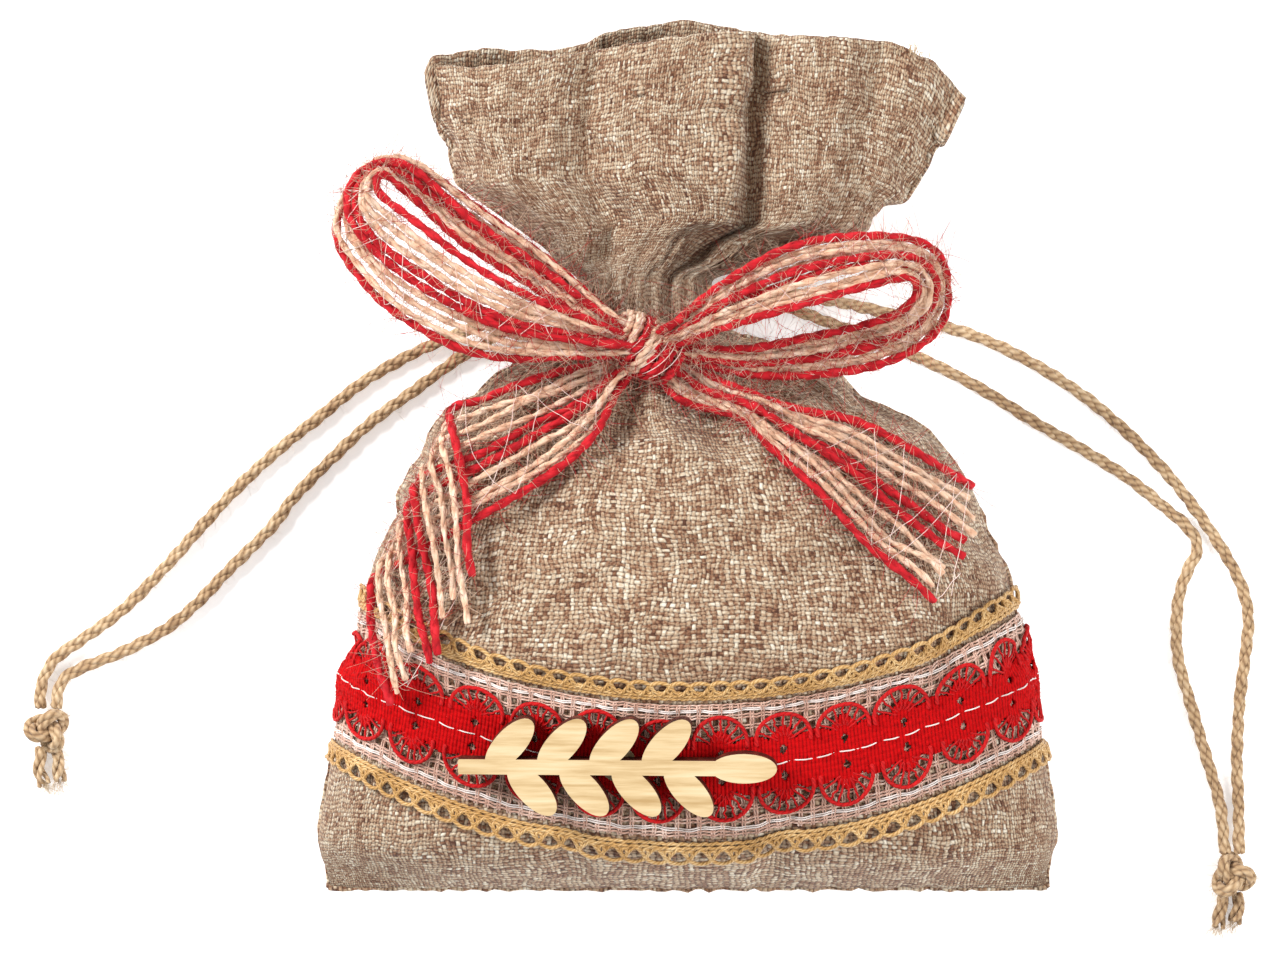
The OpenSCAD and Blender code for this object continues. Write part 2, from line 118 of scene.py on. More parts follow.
# %% [markdown]
# ## Materials
# A woven or twisted thing gets its look from its threads, so most materials here read a UV map
# that counts real millimetres. One helper turns a hex colour into the linear numbers Blender
# wants, and one adds a node with its settings and links. Everything else is built from these.

# %% Colour and node helpers
def linear(hex_colour, alpha=1.0):
    """An sRGB hex colour as Blender's linear colour."""
    channels = [int(hex_colour[i:i + 2], 16) / 255 for i in (1, 3, 5)]
    return tuple(c / 12.92 if c <= 0.04045 else ((c + 0.055) / 1.055) ** 2.4
                 for c in channels) + (alpha,)


def add(tree, kind, settings=(), **inputs):
    """A node of this kind. settings are its properties; inputs are sockets by name or index."""
    node = tree.nodes.new(kind)
    for name, value in dict(settings).items():
        setattr(node, name, value)
    for name, value in inputs.items():
        key = int(name[1:]) if name[0] == "i" and name[1:].isdigit() else name.replace("_", " ")
        if isinstance(value, bpy.types.NodeSocket):
            tree.links.new(value, node.inputs[key])
        else:
            node.inputs[key].default_value = value
    return node


def maths(tree, operation, *values, clamp=False):
    """A Math node's result; values are its inputs in order."""
    node = add(tree, "ShaderNodeMath", {"operation": operation, "use_clamp": clamp},
               **{f"i{k}": value for k, value in enumerate(values)})
    return node.outputs[0]


def blend_colours(tree, factor, a, b, kind="MIX"):
    """A Mix Color node's result."""
    node = add(tree, "ShaderNodeMix", {"data_type": "RGBA", "blend_type": kind},
               i0=factor, i6=a, i7=b)
    return node.outputs[2]


def ramp(tree, factor, stops):
    """Colours along a ramp: stops are (place, hex colour)."""
    node = add(tree, "ShaderNodeValToRGB", i0=factor)
    marks = node.color_ramp.elements
    while len(marks) < len(stops):
        marks.new(0.5)
    for mark, (place, colour) in zip(marks, stops):
        mark.position = place
        mark.color = linear(colour)
    return node.outputs[0]


def new_material(name, roughness, ior=1.5, sheen=0.0, specular=0.5):
    """A material's node tree and its shader, with the constants on the shader's own sockets."""
    material = bpy.data.materials.new(name)
    material.use_nodes = True
    tree = material.node_tree
    shader = tree.nodes["Principled BSDF"]
    shader.inputs["Roughness"].default_value = roughness
    shader.inputs["IOR"].default_value = ior
    shader.inputs["Sheen Weight"].default_value = sheen
    shader.inputs["Sheen Roughness"].default_value = 0.6
    shader.inputs["Specular IOR Level"].default_value = specular
    return material, tree, shader


def bump(tree, shader, height, depth_mm, strength=1.0):
    """Raises the surface by a height from 0 to 1, that many millimetres deep."""
    node = add(tree, "ShaderNodeBump", Strength=strength, Distance=depth_mm * MM, Height=height)
    tree.links.new(node.outputs[0], shader.inputs["Normal"])


# %% [markdown]
# ### Burlap
# The cloth is a printed imitation of jute: a plain weave of fine warp and weft threads, each
# thread a slightly different brown or cream. The pattern below works on a UV map in
# millimetres. Sine waves give each thread a round back, their signs say which thread is on top,
# and a noise that is stretched along a thread colours it.

# %% Burlap
WARP_PITCH, WEFT_PITCH = 0.57, 0.66


def burlap_material(name, tones, gap_shade_colour, shade=1.25):
    """Plain weave; tones are the thread colours from dark to pale, and the gap colour is painted shade
    where the threads dip.
    """
    material, tree, shader = new_material(name, 0.85, 1.5, 0.1, 0.25)
    uv = add(tree, "ShaderNodeUVMap", {"uv_map": "mm"}).outputs[0]
    wander = add(tree, "ShaderNodeTexNoise", Vector=uv, Scale=0.16, Detail=2.0).outputs["Color"]
    shift = add(tree, "ShaderNodeVectorMath", {"operation": "SCALE"}, i0=wander, Scale=2.2).outputs[0]
    bent = add(tree, "ShaderNodeVectorMath", {"operation": "ADD"}, i0=uv, i1=shift).outputs[0]
    parts = add(tree, "ShaderNodeSeparateXYZ", i0=bent)
    across = maths(tree, "DIVIDE", parts.outputs[0], WARP_PITCH)
    along = maths(tree, "DIVIDE", parts.outputs[1], WEFT_PITCH)
    wave_u = maths(tree, "SINE", maths(tree, "MULTIPLY", across, math.pi))
    wave_v = maths(tree, "SINE", maths(tree, "MULTIPLY", along, math.pi))
    on_top = maths(tree, "MULTIPLY", wave_u, wave_v)
    back_u = maths(tree, "POWER", maths(tree, "ABSOLUTE", wave_u), 0.7)
    back_v = maths(tree, "POWER", maths(tree, "ABSOLUTE", wave_v), 0.7)
    warp = maths(tree, "MULTIPLY", back_u, maths(tree, "MULTIPLY_ADD", on_top, 0.5, 0.55))
    weft = maths(tree, "MULTIPLY", back_v, maths(tree, "MULTIPLY_ADD", on_top, -0.5, 0.55))
    height = maths(tree, "MAXIMUM", warp, weft)
    is_warp = maths(tree, "GREATER_THAN", warp, weft)

    def thread_tone(number, length):
        """Colour along one thread: its own tone, with thick and thin places."""
        own = maths(tree, "MULTIPLY", maths(tree, "FLOOR", number), 7.31)
        spot = add(tree, "ShaderNodeCombineXYZ", X=own, Y=maths(tree, "MULTIPLY", length, 0.13)).outputs[0]
        return add(tree, "ShaderNodeTexNoise", Vector=spot, Scale=1.0, Detail=3.0,
                   Roughness=0.7).outputs["Fac"]

    tone_u = thread_tone(across, along)
    tone_v = thread_tone(maths(tree, "ADD", along, 91.0), across)
    tone = add(tree, "ShaderNodeMix", i0=is_warp, i2=tone_v, i3=tone_u).outputs[0]
    speck = add(tree, "ShaderNodeTexNoise", Vector=uv, Scale=2.6, Detail=2.0).outputs["Fac"]
    mixed = maths(tree, "ADD", maths(tree, "MULTIPLY", tone, 0.72), maths(tree, "MULTIPLY", speck, 0.28))
    colour = ramp(tree, mixed, [(0.36 + 0.28 * k / (len(tones) - 1), tone_hex)
                                for k, tone_hex in enumerate(tones)])
    # Painted shade between the threads: the lower the weave, the more its colour goes to the dark gap
    # colour.
    depth = maths(tree, "SUBTRACT", 1.0, maths(tree, "MULTIPLY", height, 1.5), clamp=True)
    colour = blend_colours(tree, maths(tree, "MULTIPLY", depth, shade, clamp=True), colour, linear(gap_shade_colour))
    tree.links.new(colour, shader.inputs["Base Color"])
    bump(tree, shader, height, 0.16)
    return material


# The last colour, #3c2014, is painted shade between the threads.
burlap = burlap_material("printed_burlap", ["#4e2d1d", "#82593f", "#ac8f73", "#cbbaa1", "#e2d9c8"],
                         "#3c2014")
print("burlap threads every", WARP_PITCH, "and", WEFT_PITCH, "mm")

# %% [markdown]
# ## Threads, yarns and cords
# Nearly everything on this pouch is a thread of some kind, so one tube maker serves them all. It
# sweeps a ring of points along a path, carries the ring's direction along without twisting it,
# and writes a UV map of turns round the tube and millimetres along it, which the yarn materials
# read. Many tubes are collected in one batch before a mesh is made of them.

# %% Tube maker
def unit(v):
    """Vectors at length one."""
    return v / np.maximum(np.linalg.norm(v, axis=-1, keepdims=True), 1e-12)


def smooth_path(points, step):
    """A Catmull-Rom curve through the points, sampled every step millimetres."""
    p = np.asarray(points, float)
    p = np.vstack([2 * p[0] - p[1], p, 2 * p[-1] - p[-2]])
    fine = []
    for a, b, c, d in zip(p, p[1:], p[2:], p[3:]):
        t = np.linspace(0, 1, 12, endpoint=False)[:, None]
        fine.append(0.5 * (2 * b + (c - a) * t + (2 * a - 5 * b + 4 * c - d) * t ** 2
                           + (3 * b - a - 3 * c + d) * t ** 3))
    fine = np.vstack(fine + [p[-2:-1]])
    return resampled(fine, step)


def resampled(path, step):
    """The same line with evenly spaced points."""
    along = np.concatenate([[0], np.cumsum(np.linalg.norm(np.diff(path, axis=0), axis=1))])
    count = max(2, int(round(along[-1] / step)) + 1)
    want = np.linspace(0, along[-1], count)
    return np.stack([np.interp(want, along, path[:, k]) for k in range(3)], axis=1)


def carried_frames(path):
    """Heading and two sideways directions at each point, carried along without twist."""
    heading = unit(np.gradient(path, axis=0))
    side = np.cross(heading[0], [0.13, 0.21, 0.97])
    sides = []
    for t in heading:
        side = side - t * side.dot(t)
        side = side / max(np.linalg.norm(side), 1e-12)
        sides.append(side)
    sides = np.array(sides)
    return heading, sides, np.cross(heading, sides)


class Batch:
    """Points, faces, UVs and material numbers, gathered before one mesh is made."""

    def __init__(self):
        self.points, self.faces, self.uvs, self.slots, self.count = [], [], [], [], 0

    def grid(self, points, uv, slot=0, round_cols=False, flip=False, keep=None):
        """A sheet of quads through points[row, col]; round_cols joins its last column to its first."""
        rows, cols = points.shape[:2]
        i, j = np.meshgrid(np.arange(rows - 1), np.arange(cols - (0 if round_cols else 1)), indexing="ij")
        k = (j + 1) % cols
        quad = np.stack([i * cols + j, i * cols + k, (i + 1) * cols + k, (i + 1) * cols + j], axis=-1)
        corner = np.stack([uv[i, j], uv[i, j + 1 if round_cols else k],
                           uv[i + 1, j + 1 if round_cols else k], uv[i + 1, j]], axis=-2)
        quad, corner = quad.reshape(-1, 4), corner.reshape(-1, 4, 2)
        if keep is not None:
            quad, corner = quad[keep.ravel()], corner[keep.ravel()]
        if flip:
            quad, corner = quad[:, ::-1], corner[:, ::-1]
        self.faces.append(quad + self.count)
        self.uvs.append(corner.reshape(-1, 2))
        self.slots.append(np.full(len(quad), slot))
        self.points.append(points.reshape(-1, 3))
        self.count += rows * cols

    def tube(self, path, radius, sides=6, slot=0, squash=1.0):
        """A round tube with tapered closed ends. radius is one number or one for each point."""
        path = np.asarray(path, float)
        heading, side, other = carried_frames(path)
        radius = np.broadcast_to(np.asarray(radius, float), (len(path),)).copy()
        path = np.vstack([path[0] - heading[0] * radius[0] * 0.5, path,
                          path[-1] + heading[-1] * radius[-1] * 0.5])
        side, other = (np.vstack([d[:1], d, d[-1:]]) for d in (side, other))
        radius = np.concatenate([[radius[0] * 0.02], radius, [radius[-1] * 0.02]])
        angle = 2 * np.pi * np.arange(sides) / sides
        ring = (side[:, None] * np.cos(angle)[None, :, None]
                + other[:, None] * np.sin(angle)[None, :, None] * squash)
        points = path[:, None] + ring * radius[:, None, None]
        along = np.concatenate([[0], np.cumsum(np.linalg.norm(np.diff(path, axis=0), axis=1))])
        uv = np.stack(np.meshgrid(along, np.arange(sides + 1) / sides, indexing="ij")[::-1], axis=-1)
        self.grid(points, uv, slot, round_cols=True)

    def make(self, name, materials, smooth=True):
        """One mesh object of everything in the batch, in metres."""
        points, faces = np.vstack(self.points) * MM, np.vstack(self.faces)
        mesh = bpy.data.meshes.new(name)
        mesh.vertices.add(len(points))
        mesh.vertices.foreach_set("co", points.ravel())
        mesh.loops.add(faces.size)
        mesh.loops.foreach_set("vertex_index", faces.ravel())
        mesh.polygons.add(len(faces))
        mesh.polygons.foreach_set("loop_start", np.arange(0, faces.size, 4))
        mesh.polygons.foreach_set("material_index", np.concatenate(self.slots).astype(np.int32))
        mesh.update(calc_edges=True)
        layer = mesh.uv_layers.new(name="mm")
        layer.data.foreach_set("uv", np.vstack(self.uvs).ravel())
        mesh.polygons.foreach_set("use_smooth", np.full(len(faces), smooth))
        mesh.validate()
        for material in materials:
            mesh.materials.append(material)
        piece = bpy.data.objects.new(name, mesh)
        bpy.context.scene.collection.objects.link(piece)
        print(name, len(faces) * 2, "triangles")
        return piece


# %% [markdown]
# ### Jute cord
# The drawstrings are jute twine: three soft plies laid round each other, straw brown with paler
# and darker fibres, and a halo of stray hairs. The plies are real tubes, and the fibres in
# them are a fine slanted pattern on the UV map, with painted shade in its grooves. Hairs are
# thin three-sided tubes.

# %% Yarn materials
def yarn_material(name, tones, twist_mm=1.6, roughness=0.8, sheen=0.3, depth_mm=0.12, strands=2):
    """Twisted fibre; tones run from shadow to light, twist_mm is the length of one turn."""
    material, tree, shader = new_material(name, roughness, 1.5, sheen, 0.3)
    uv = add(tree, "ShaderNodeUVMap", {"uv_map": "mm"}).outputs[0]
    parts = add(tree, "ShaderNodeSeparateXYZ", i0=uv)
    turn = maths(tree, "ADD", maths(tree, "MULTIPLY", parts.outputs[0], float(strands)),
                 maths(tree, "DIVIDE", parts.outputs[1], twist_mm))
    lay = maths(tree, "ABSOLUTE", maths(tree, "SINE", maths(tree, "MULTIPLY", turn, math.pi)))
    place = add(tree, "ShaderNodeTexCoord").outputs["Object"]
    spots = add(tree, "ShaderNodeTexNoise", Vector=place, Scale=900.0, Detail=3.0).outputs["Fac"]
    drift = add(tree, "ShaderNodeTexNoise", Vector=place, Scale=160.0, Detail=2.0).outputs["Fac"]
    stain = maths(tree, "ADD", maths(tree, "MULTIPLY", spots, 0.5), maths(tree, "MULTIPLY", drift, 0.4))
    # Painted shade in the grooves of the twist: lay is low there, so the ramp gives its darker tones.
    shade = maths(tree, "ADD", maths(tree, "MULTIPLY", lay, 0.26), stain)
    colour = ramp(tree, shade, [(0.25 + 0.6 * k / (len(tones) - 1), tone) for k, tone in enumerate(tones)])
    tree.links.new(colour, shader.inputs["Base Color"])
    height = maths(tree, "ADD", lay, maths(tree, "MULTIPLY", spots, 0.6))
    bump(tree, shader, height, depth_mm)
    return material


jute = yarn_material("jute_twine", ["#5f4630", "#8c6c4c", "#b3946f", "#d3bb99"], 1.2, 0.8, 0.15, 0.12)
jute_hair = yarn_material("jute_fibre", ["#9c8060", "#c0a584", "#dccab0"], 2.0, 0.8, 0.1, 0.01)


def hairs(batch, points, outward, length, rng, slot=0, radius=0.028, lean=0.5):
    """Stray fibres that start at points and bend away from the surface."""
    for base, out in zip(points, outward):
        wander = unit(out + lean * rng.normal(size=3))
        reach = length * rng.uniform(0.4, 1.0)
        bend = rng.normal(size=3) * 0.45
        steps = np.linspace(0, 1, 5)[:, None]
        path = base + wander * steps * reach + bend * reach * steps ** 2
        path[:, 2] = np.maximum(path[:, 2], 0.06)
        batch.tube(path, radius * (1 - 0.6 * steps[:, 0]), 3, slot)


# %% [markdown]
# ## The drawstrings
# Two cords close the pouch. Each runs through the front of the casing, turns round the pleats and
# comes back through the rear, so two strands leave on the same side and meet in one overhand
# knot. The strands were laid out by hand on the table in easy curves, so their points are a given
# list, the same as the measured model's. The twine is 1.8 mm thick.

# %% Drawstring routes
CORD_D = 1.8
LIE_Z = CORD_D / 2
PLEATS_T = 3.8
CORD_GAP = 0.4
CASING_WALL, CASING_END = 0.8, 0.6
RUN_Z = PLEATS_T / 2 + CORD_GAP + CORD_D / 2
TURN_X = NECK_W / 2 - CASING_WALL - CORD_GAP - CORD_D / 2 - RUN_Z
LEFT_Y = CASING_Y + CASING_END + CORD_GAP + CORD_D / 2
RIGHT_Y = FRILL_Y - CASING_END - CORD_GAP - CORD_D / 2

LEFT_FRONT = [[-21, 20.9, 11.3], [-25, 19.8, 9.2], [-29, 18.6, 5], [-33, 17.2, 1.6],
              [-39, 14.6, 0], [-46, 10.6, 0], [-52, 5.8, 0], [-58, 1, 0], [-64, -4.6, 0],
              [-69, -10, 0], [-74, -15.6, 0], [-80, -21.6, 0], [-86, -26, 0],
              [-89.6, -28.6, 0], [-91.4, -32, 0.4], [-91.6, -35.4, 1]]
LEFT_BACK = [[-21, 20.7, 4.8], [-25, 18.4, 2.6], [-29, 16, 0.8], [-33, 13.6, 0],
             [-39, 9.2, 0], [-45, 4.8, 0], [-51.6, -1.4, 0], [-56, -6, 0], [-59, -10, 0],
             [-65, -16, 0], [-69.6, -20.8, 0], [-74, -24.4, 0], [-80, -27.6, 0],
             [-85.6, -29.8, 0], [-88.6, -31.8, 0.4], [-89.4, -35.4, 1]]
RIGHT_FRONT = [[9, 23.1, 11.2], [14, 22.8, 9], [20, 22, 5.4], [27, 20.6, 1.6], [34, 19, 0],
               [40, 17.4, 0], [46, 14.8, 0], [52, 11.4, 0], [58, 7.2, 0], [64, 1.8, 0],
               [69.6, -4.4, 0], [74.4, -11, 0], [78, -17.2, 0], [79.4, -22.4, 0],
               [79, -28, 0], [78.2, -34.4, 0], [77.8, -42.6, 0], [78, -49, 0.2], [78, -56, 1]]
RIGHT_BACK = [[9, 22.8, 4.8], [14, 21.2, 3], [22, 18.2, 0.8], [30, 15.2, 0], [36, 12.6, 0],
              [42, 9.4, 0], [49.4, 4.8, 0], [56, 1, 0], [62.4, -3, 0], [67.6, -7.2, 0],
              [71, -10.2, 0], [72.2, -13, 0], [70.6, -16.6, 0], [69.4, -21, 0],
              [69.4, -28, 0], [71.2, -34.8, 0], [73.6, -43, 0], [75.4, -49.4, 0.2], [76, -56, 1]]


def strand_route(side, y, up, route):
    """Half of a drawstring: the turn round the pleats, the run in the casing, and the strand."""
    turn = [[NECK_X - side * (TURN_X + RUN_Z * math.cos(math.radians(a))), y,
             NECK_Z + up * RUN_Z * math.sin(math.radians(a))] for a in (0, 30, 60, 90)]
    mouth = [NECK_X + side * (NECK_W / 2 + 0.4), y, NECK_Z + up * RUN_Z]
    return turn + [mouth] + [[x, v, z + LIE_Z] for x, v, z in route]


# %% [markdown]
# A knot in twine is a short length of the same twine wound over and under itself. The curve below
# is the standard trefoil, flattened, which is what an overhand knot becomes when it is pulled
# tight. The cut ends leave it side by side and fray: their plies part and their fibres spread.

# %% Plied twine, knots and ends
PLIES = 3
PLY_PITCH = 8.6


def plied(batch, path, diameter, rng, start_turn=0.0, spread=None, slot=0):
    """Plies wound round a path. spread grows the distance between them towards its end."""
    _, side, other = carried_frames(path)
    along = np.concatenate([[0], np.cumsum(np.linalg.norm(np.diff(path, axis=0), axis=1))])
    spread = np.ones(len(path)) if spread is None else spread
    thick = 1 + 0.07 * np.sin(along * 0.9 + rng.uniform(0, 6)) + 0.05 * np.sin(along * 2.3)
    for ply in range(PLIES):
        turn = start_turn + 2 * np.pi * (ply / PLIES + along / PLY_PITCH)
        lay = side * np.cos(turn)[:, None] + other * np.sin(turn)[:, None]
        line = path + lay * (0.235 * diameter * spread)[:, None]
        batch.tube(line, 0.27 * diameter * thick / np.sqrt(spread), 7, slot)


def cord_hairs(batch, path, count, length, rng, slot=1):
    """Stray fibres all round a cord."""
    heading, side, other = carried_frames(path)
    pick = rng.integers(1, len(path) - 1, count)
    turn = rng.uniform(0, 2 * np.pi, count)
    out = side[pick] * np.cos(turn)[:, None] + other[pick] * np.sin(turn)[:, None]
    hairs(batch, path[pick] + out * CORD_D * 0.42, unit(out + heading[pick] * 0.8), length, rng, slot)


def drawstring_strand(name, body, side, y, up, route, node, seed):
    """One strand of a drawstring, attached to its drawstring's body."""
    rng = np.random.default_rng(seed)
    path = smooth_path(strand_route(side, y, up, route), 0.55)
    batch = Batch()
    plied(batch, path, CORD_D, rng)
    cord_hairs(batch, path[40:-6], 210, 1.35, rng)
    strand = batch.make(name, [jute, jute_hair])
    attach(strand, body)
    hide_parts(node)
    return strand


def twine_knot(name, body, node, seed, turn_deg):
    """A tight overhand knot of twine in the place of the measured one."""
    rng = np.random.default_rng(seed)
    low, high = box_mm(node)
    centre, size = (low + high) / 2, high - low
    t = np.linspace(0, 2 * np.pi, 90)
    wide = (np.stack([np.sin(t) + 2 * np.sin(2 * t), np.cos(t) - 2 * np.cos(2 * t), -np.sin(3 * t)], axis=1)
            / [3, 3, 1] * [size[0] / 2 - 0.95, size[1] / 2 - 0.95, size[2] / 2 - 0.9])
    a = math.radians(turn_deg)
    spin = np.array([[math.cos(a), -math.sin(a), 0], [math.sin(a), math.cos(a), 0], [0, 0, 1]])
    path = centre + wide @ spin.T
    batch = Batch()
    plied(batch, path, CORD_D * 1.05, rng)
    core = centre + np.array([[-1.4, 0.9, -0.1], [0, 0, 0.1], [1.4, -0.9, -0.1]])
    plied(batch, resampled(core, 0.5), CORD_D * 1.1, rng)
    pick = rng.integers(0, len(path), 90)
    out = unit(path[pick] - centre)
    hairs(batch, path[pick] + out * 0.8, out, 1.5, rng, 1)
    knot = batch.make(name, [jute, jute_hair])
    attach(knot, body)
    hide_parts(node)
    return knot


def frayed_ends(name, body, node, ends, seed):
    """The cut ends below a knot."""
    rng = np.random.default_rng(seed)
    batch = Batch()
    for end in ends:
        path = smooth_path([[x, y, LIE_Z + 0.25 * k] for k, (x, y) in enumerate(end)], 0.4)
        spread = 1 + 0.9 * np.linspace(0, 1, len(path)) ** 2
        plied(batch, path, CORD_D, rng, spread=spread)
        tip, heading = path[-1], unit(path[-1] - path[-4])
        starts = tip + rng.normal(size=(60, 3)) * [0.45, 0.3, 0.35]
        starts[:, 2] = np.maximum(starts[:, 2], 0.2)
        hairs(batch, starts, np.repeat(heading[None], 60, axis=0), 2.2, rng, 1, lean=0.3)
        cord_hairs(batch, path, 40, 1.5, rng)
    piece = batch.make(name, [jute, jute_hair])
    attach(piece, body)
    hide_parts(node)
    return piece


LEFT_ENDS = [[[-91.5, -41.2], [-91.8, -44.4], [-91, -46.4]], [[-89.4, -41.2], [-89, -44], [-89, -45.8]]]
RIGHT_ENDS = [[[76, -61.8], [75.4, -64.6], [75, -66.6]], [[78, -61.8], [77.9, -64.4], [77.4, -65.8]]]

# %% Make both drawstrings
left_knot = twine_knot("left_drawstring_overhand_knot", "left_drawstring", "left_drawstring_knot", 11, 20)
left_tips = frayed_ends("left_drawstring_cut_ends", "left_drawstring", "left_drawstring_ends",
                        LEFT_ENDS, 12)
right_knot = twine_knot("right_drawstring_overhand_knot", "right_drawstring", "right_drawstring_knot",
                        13, 75)
right_tips = frayed_ends("right_drawstring_cut_ends", "right_drawstring", "right_drawstring_ends",
                         RIGHT_ENDS, 14)
drawstring_strand("left_drawstring_front_strand", "left_drawstring", -1, LEFT_Y, 1, LEFT_FRONT,
                  "left_drawstring", 21)
drawstring_strand("left_drawstring_back_strand", "left_drawstring", -1, LEFT_Y, -1, LEFT_BACK,
                  "left_drawstring", 22)
drawstring_strand("right_drawstring_front_strand", "right_drawstring", 1, RIGHT_Y, 1, RIGHT_FRONT,
                  "right_drawstring", 23)
drawstring_strand("right_drawstring_back_strand", "right_drawstring", 1, RIGHT_Y, -1, RIGHT_BACK,
                  "right_drawstring", 24)

# %% [markdown]
# ## The filled pouch
# The pouch is one closed tube of cloth: a front and a back that share their side edges, drawn in
# tight at the neck and open at the frill. Two smooth grids of points give its plain form, with the
# same curves of width and height as the measured model. Folds are added where the drawn neck
# throws them: they fan out over the belly below it and into the frill above it.

# %% Plain form of the cloth
WIDTH_SHAPE = [[0, 0.975], [0.09, 1], [0.21, 0.96], [0.36, 0.89], [0.54, 0.79], [0.7, 0.665],
               [0.84, 0.48], [0.91, 0.33], [0.97, 0.13], [1, 0]]
RISE_SHAPE = [[0, 0.02], [0.02, 0.26], [0.06, 0.46], [0.12, 0.7], [0.22, 0.9], [0.35, 0.99],
              [0.5, 1], [0.65, 0.92], [0.78, 0.72], [0.88, 0.4], [0.95, 0.1], [1, 0]]
DROP_SHAPE = [[0, 0.05], [0.03, 0.6], [0.08, 1.05], [0.15, 1.3], [0.6, 1.3], [0.85, 1], [1, 0.7]]
LEAN_SHAPE = [[0, 0], [0.55, 0], [0.75, 0.15], [0.9, 0.5], [1, 1]]
SEAM_D = 1.2
CLOTH_T = 0.8
EDGE_SLOPE = 2.2
DRAWN_IN = 3.2
CHANNEL_Z = 4.7
BODY_ROWS, CASING_ROWS, FRILL_ROWS, COLS = 62, 7, 30, 100


def shaped(t, table, blur=0.025):
    """A table of points as a slightly rounded curve."""
    x, y = np.array(table, float).T
    return (np.interp(t - blur, x, y) + 2 * np.interp(t, x, y) + np.interp(t + blur, x, y)) / 4


def mix(a, b, f):
    return a + (b - a) * f


def ease(t):
    """A soft step from 0 to 1."""
    t = np.clip(t, 0, 1)
    return t * t * (3 - 2 * t)


def half_width(t):
    return mix(NECK_W / 2, POUCH_W / 2 - SEAM_D, shaped(t, WIDTH_SHAPE))


def centre_x(t):
    return NECK_X * shaped(t, LEAN_SHAPE)


def seam_z(t):
    return mix(SEAM_Z, NECK_Z, t)


def front_rise(t):
    rise = mix(NECK_T / 2, BELLY_Z - SEAM_Z, shaped(t, RISE_SHAPE))
    return np.minimum(rise, CLOTH_T + EDGE_SLOPE * BODY_L * t)


# Folds across the gathered cloth, from the left edge, -1, to the right, 1.
FRONT_FOLDS = [[-1, 0], [-0.92, 0.75], [-0.72, 1], [-0.5, 0.86], [-0.37, 0.35], [-0.27, 0.75], [-0.1, 1],
               [0.08, 1], [0.165, 0.8], [0.215, 0.0], [0.29, 0.42], [0.42, 0.85], [0.58, 0.95],
               [0.7, 0.55], [0.8, 0.85], [0.92, 0.7], [1, 0]]
BACK_FOLDS = [[-1, 0], [-0.9, 0.7], [-0.7, 0.95], [-0.45, 0.5], [-0.36, 0.45], [-0.1, 1], [0.2, 0.95],
              [0.4, 0.5], [0.65, 0.95], [0.9, 0.7], [1, 0]]
# The rim of the frill, as [x, y], and its side edges, as [way up the frill, x].
FRONT_RIM = [[-37, 52.5], [-36.3, 54.0], [-30, 53.6], [-23.5, 54], [-15, 55.6], [-6.6, 57], [1, 58],
             [8.5, 58.4], [11, 57.6], [14, 58], [28, 57], [34, 54.3], [38, 49.4]]
BACK_RIM = [[-37, 54], [-36, 55.2], [-29, 56.7], [-19, 56.4], [-15, 57.2], [-12.3, 58.8], [-1, 61],
            [8.8, 59.2], [14, 58.4], [28, 57.4], [34, 54.8], [38, 49.4]]
LEFT_EDGE = [[0, -6 - 8.3], [0.03, -16.2], [0.06, -18], [0.15, -20.4], [0.3, -25.5], [0.46, -31.6],
             [0.7, -34.8], [1, -36.6]]
RIGHT_EDGE = [[0, -6 + 8.3], [0.03, 5.6], [0.07, 9.4], [0.15, 15.4], [0.24, 24], [0.45, 30.5],
              [0.75, 35], [1, 38.2]]
# Soft dents in the belly under the bow: [x, y, width, length, depth].
DENTS = [[-19, -8, 4.5, 8, 2.6], [-10, 4, 3, 7, 1.5], [11, -1, 4, 9, 1.8], [23, -12, 5, 9, 1.4],
         [2, -8, 7, 7, -0.9], [-30, -20, 5, 7, 1.2], [34, -24, 4, 8, 1.2], [-42, -50, 5, 6, 1.0],
         [43, -52, 5, 5, 1.0]]


def gather(s, r, fold_table):
    """Depth of the gathers, 0 to 1, growing softer away from the neck."""
    near = shaped(s, fold_table, mix(0.03, 0.012, r))
    fine = 0.5 + 0.5 * np.cos(2 * np.pi * (5.5 * s + 0.2))
    return np.clip(near + 0.35 * (fine - 0.5) * np.exp(-r * 9) * (1 - np.abs(s) ** 4), 0, 1.1)


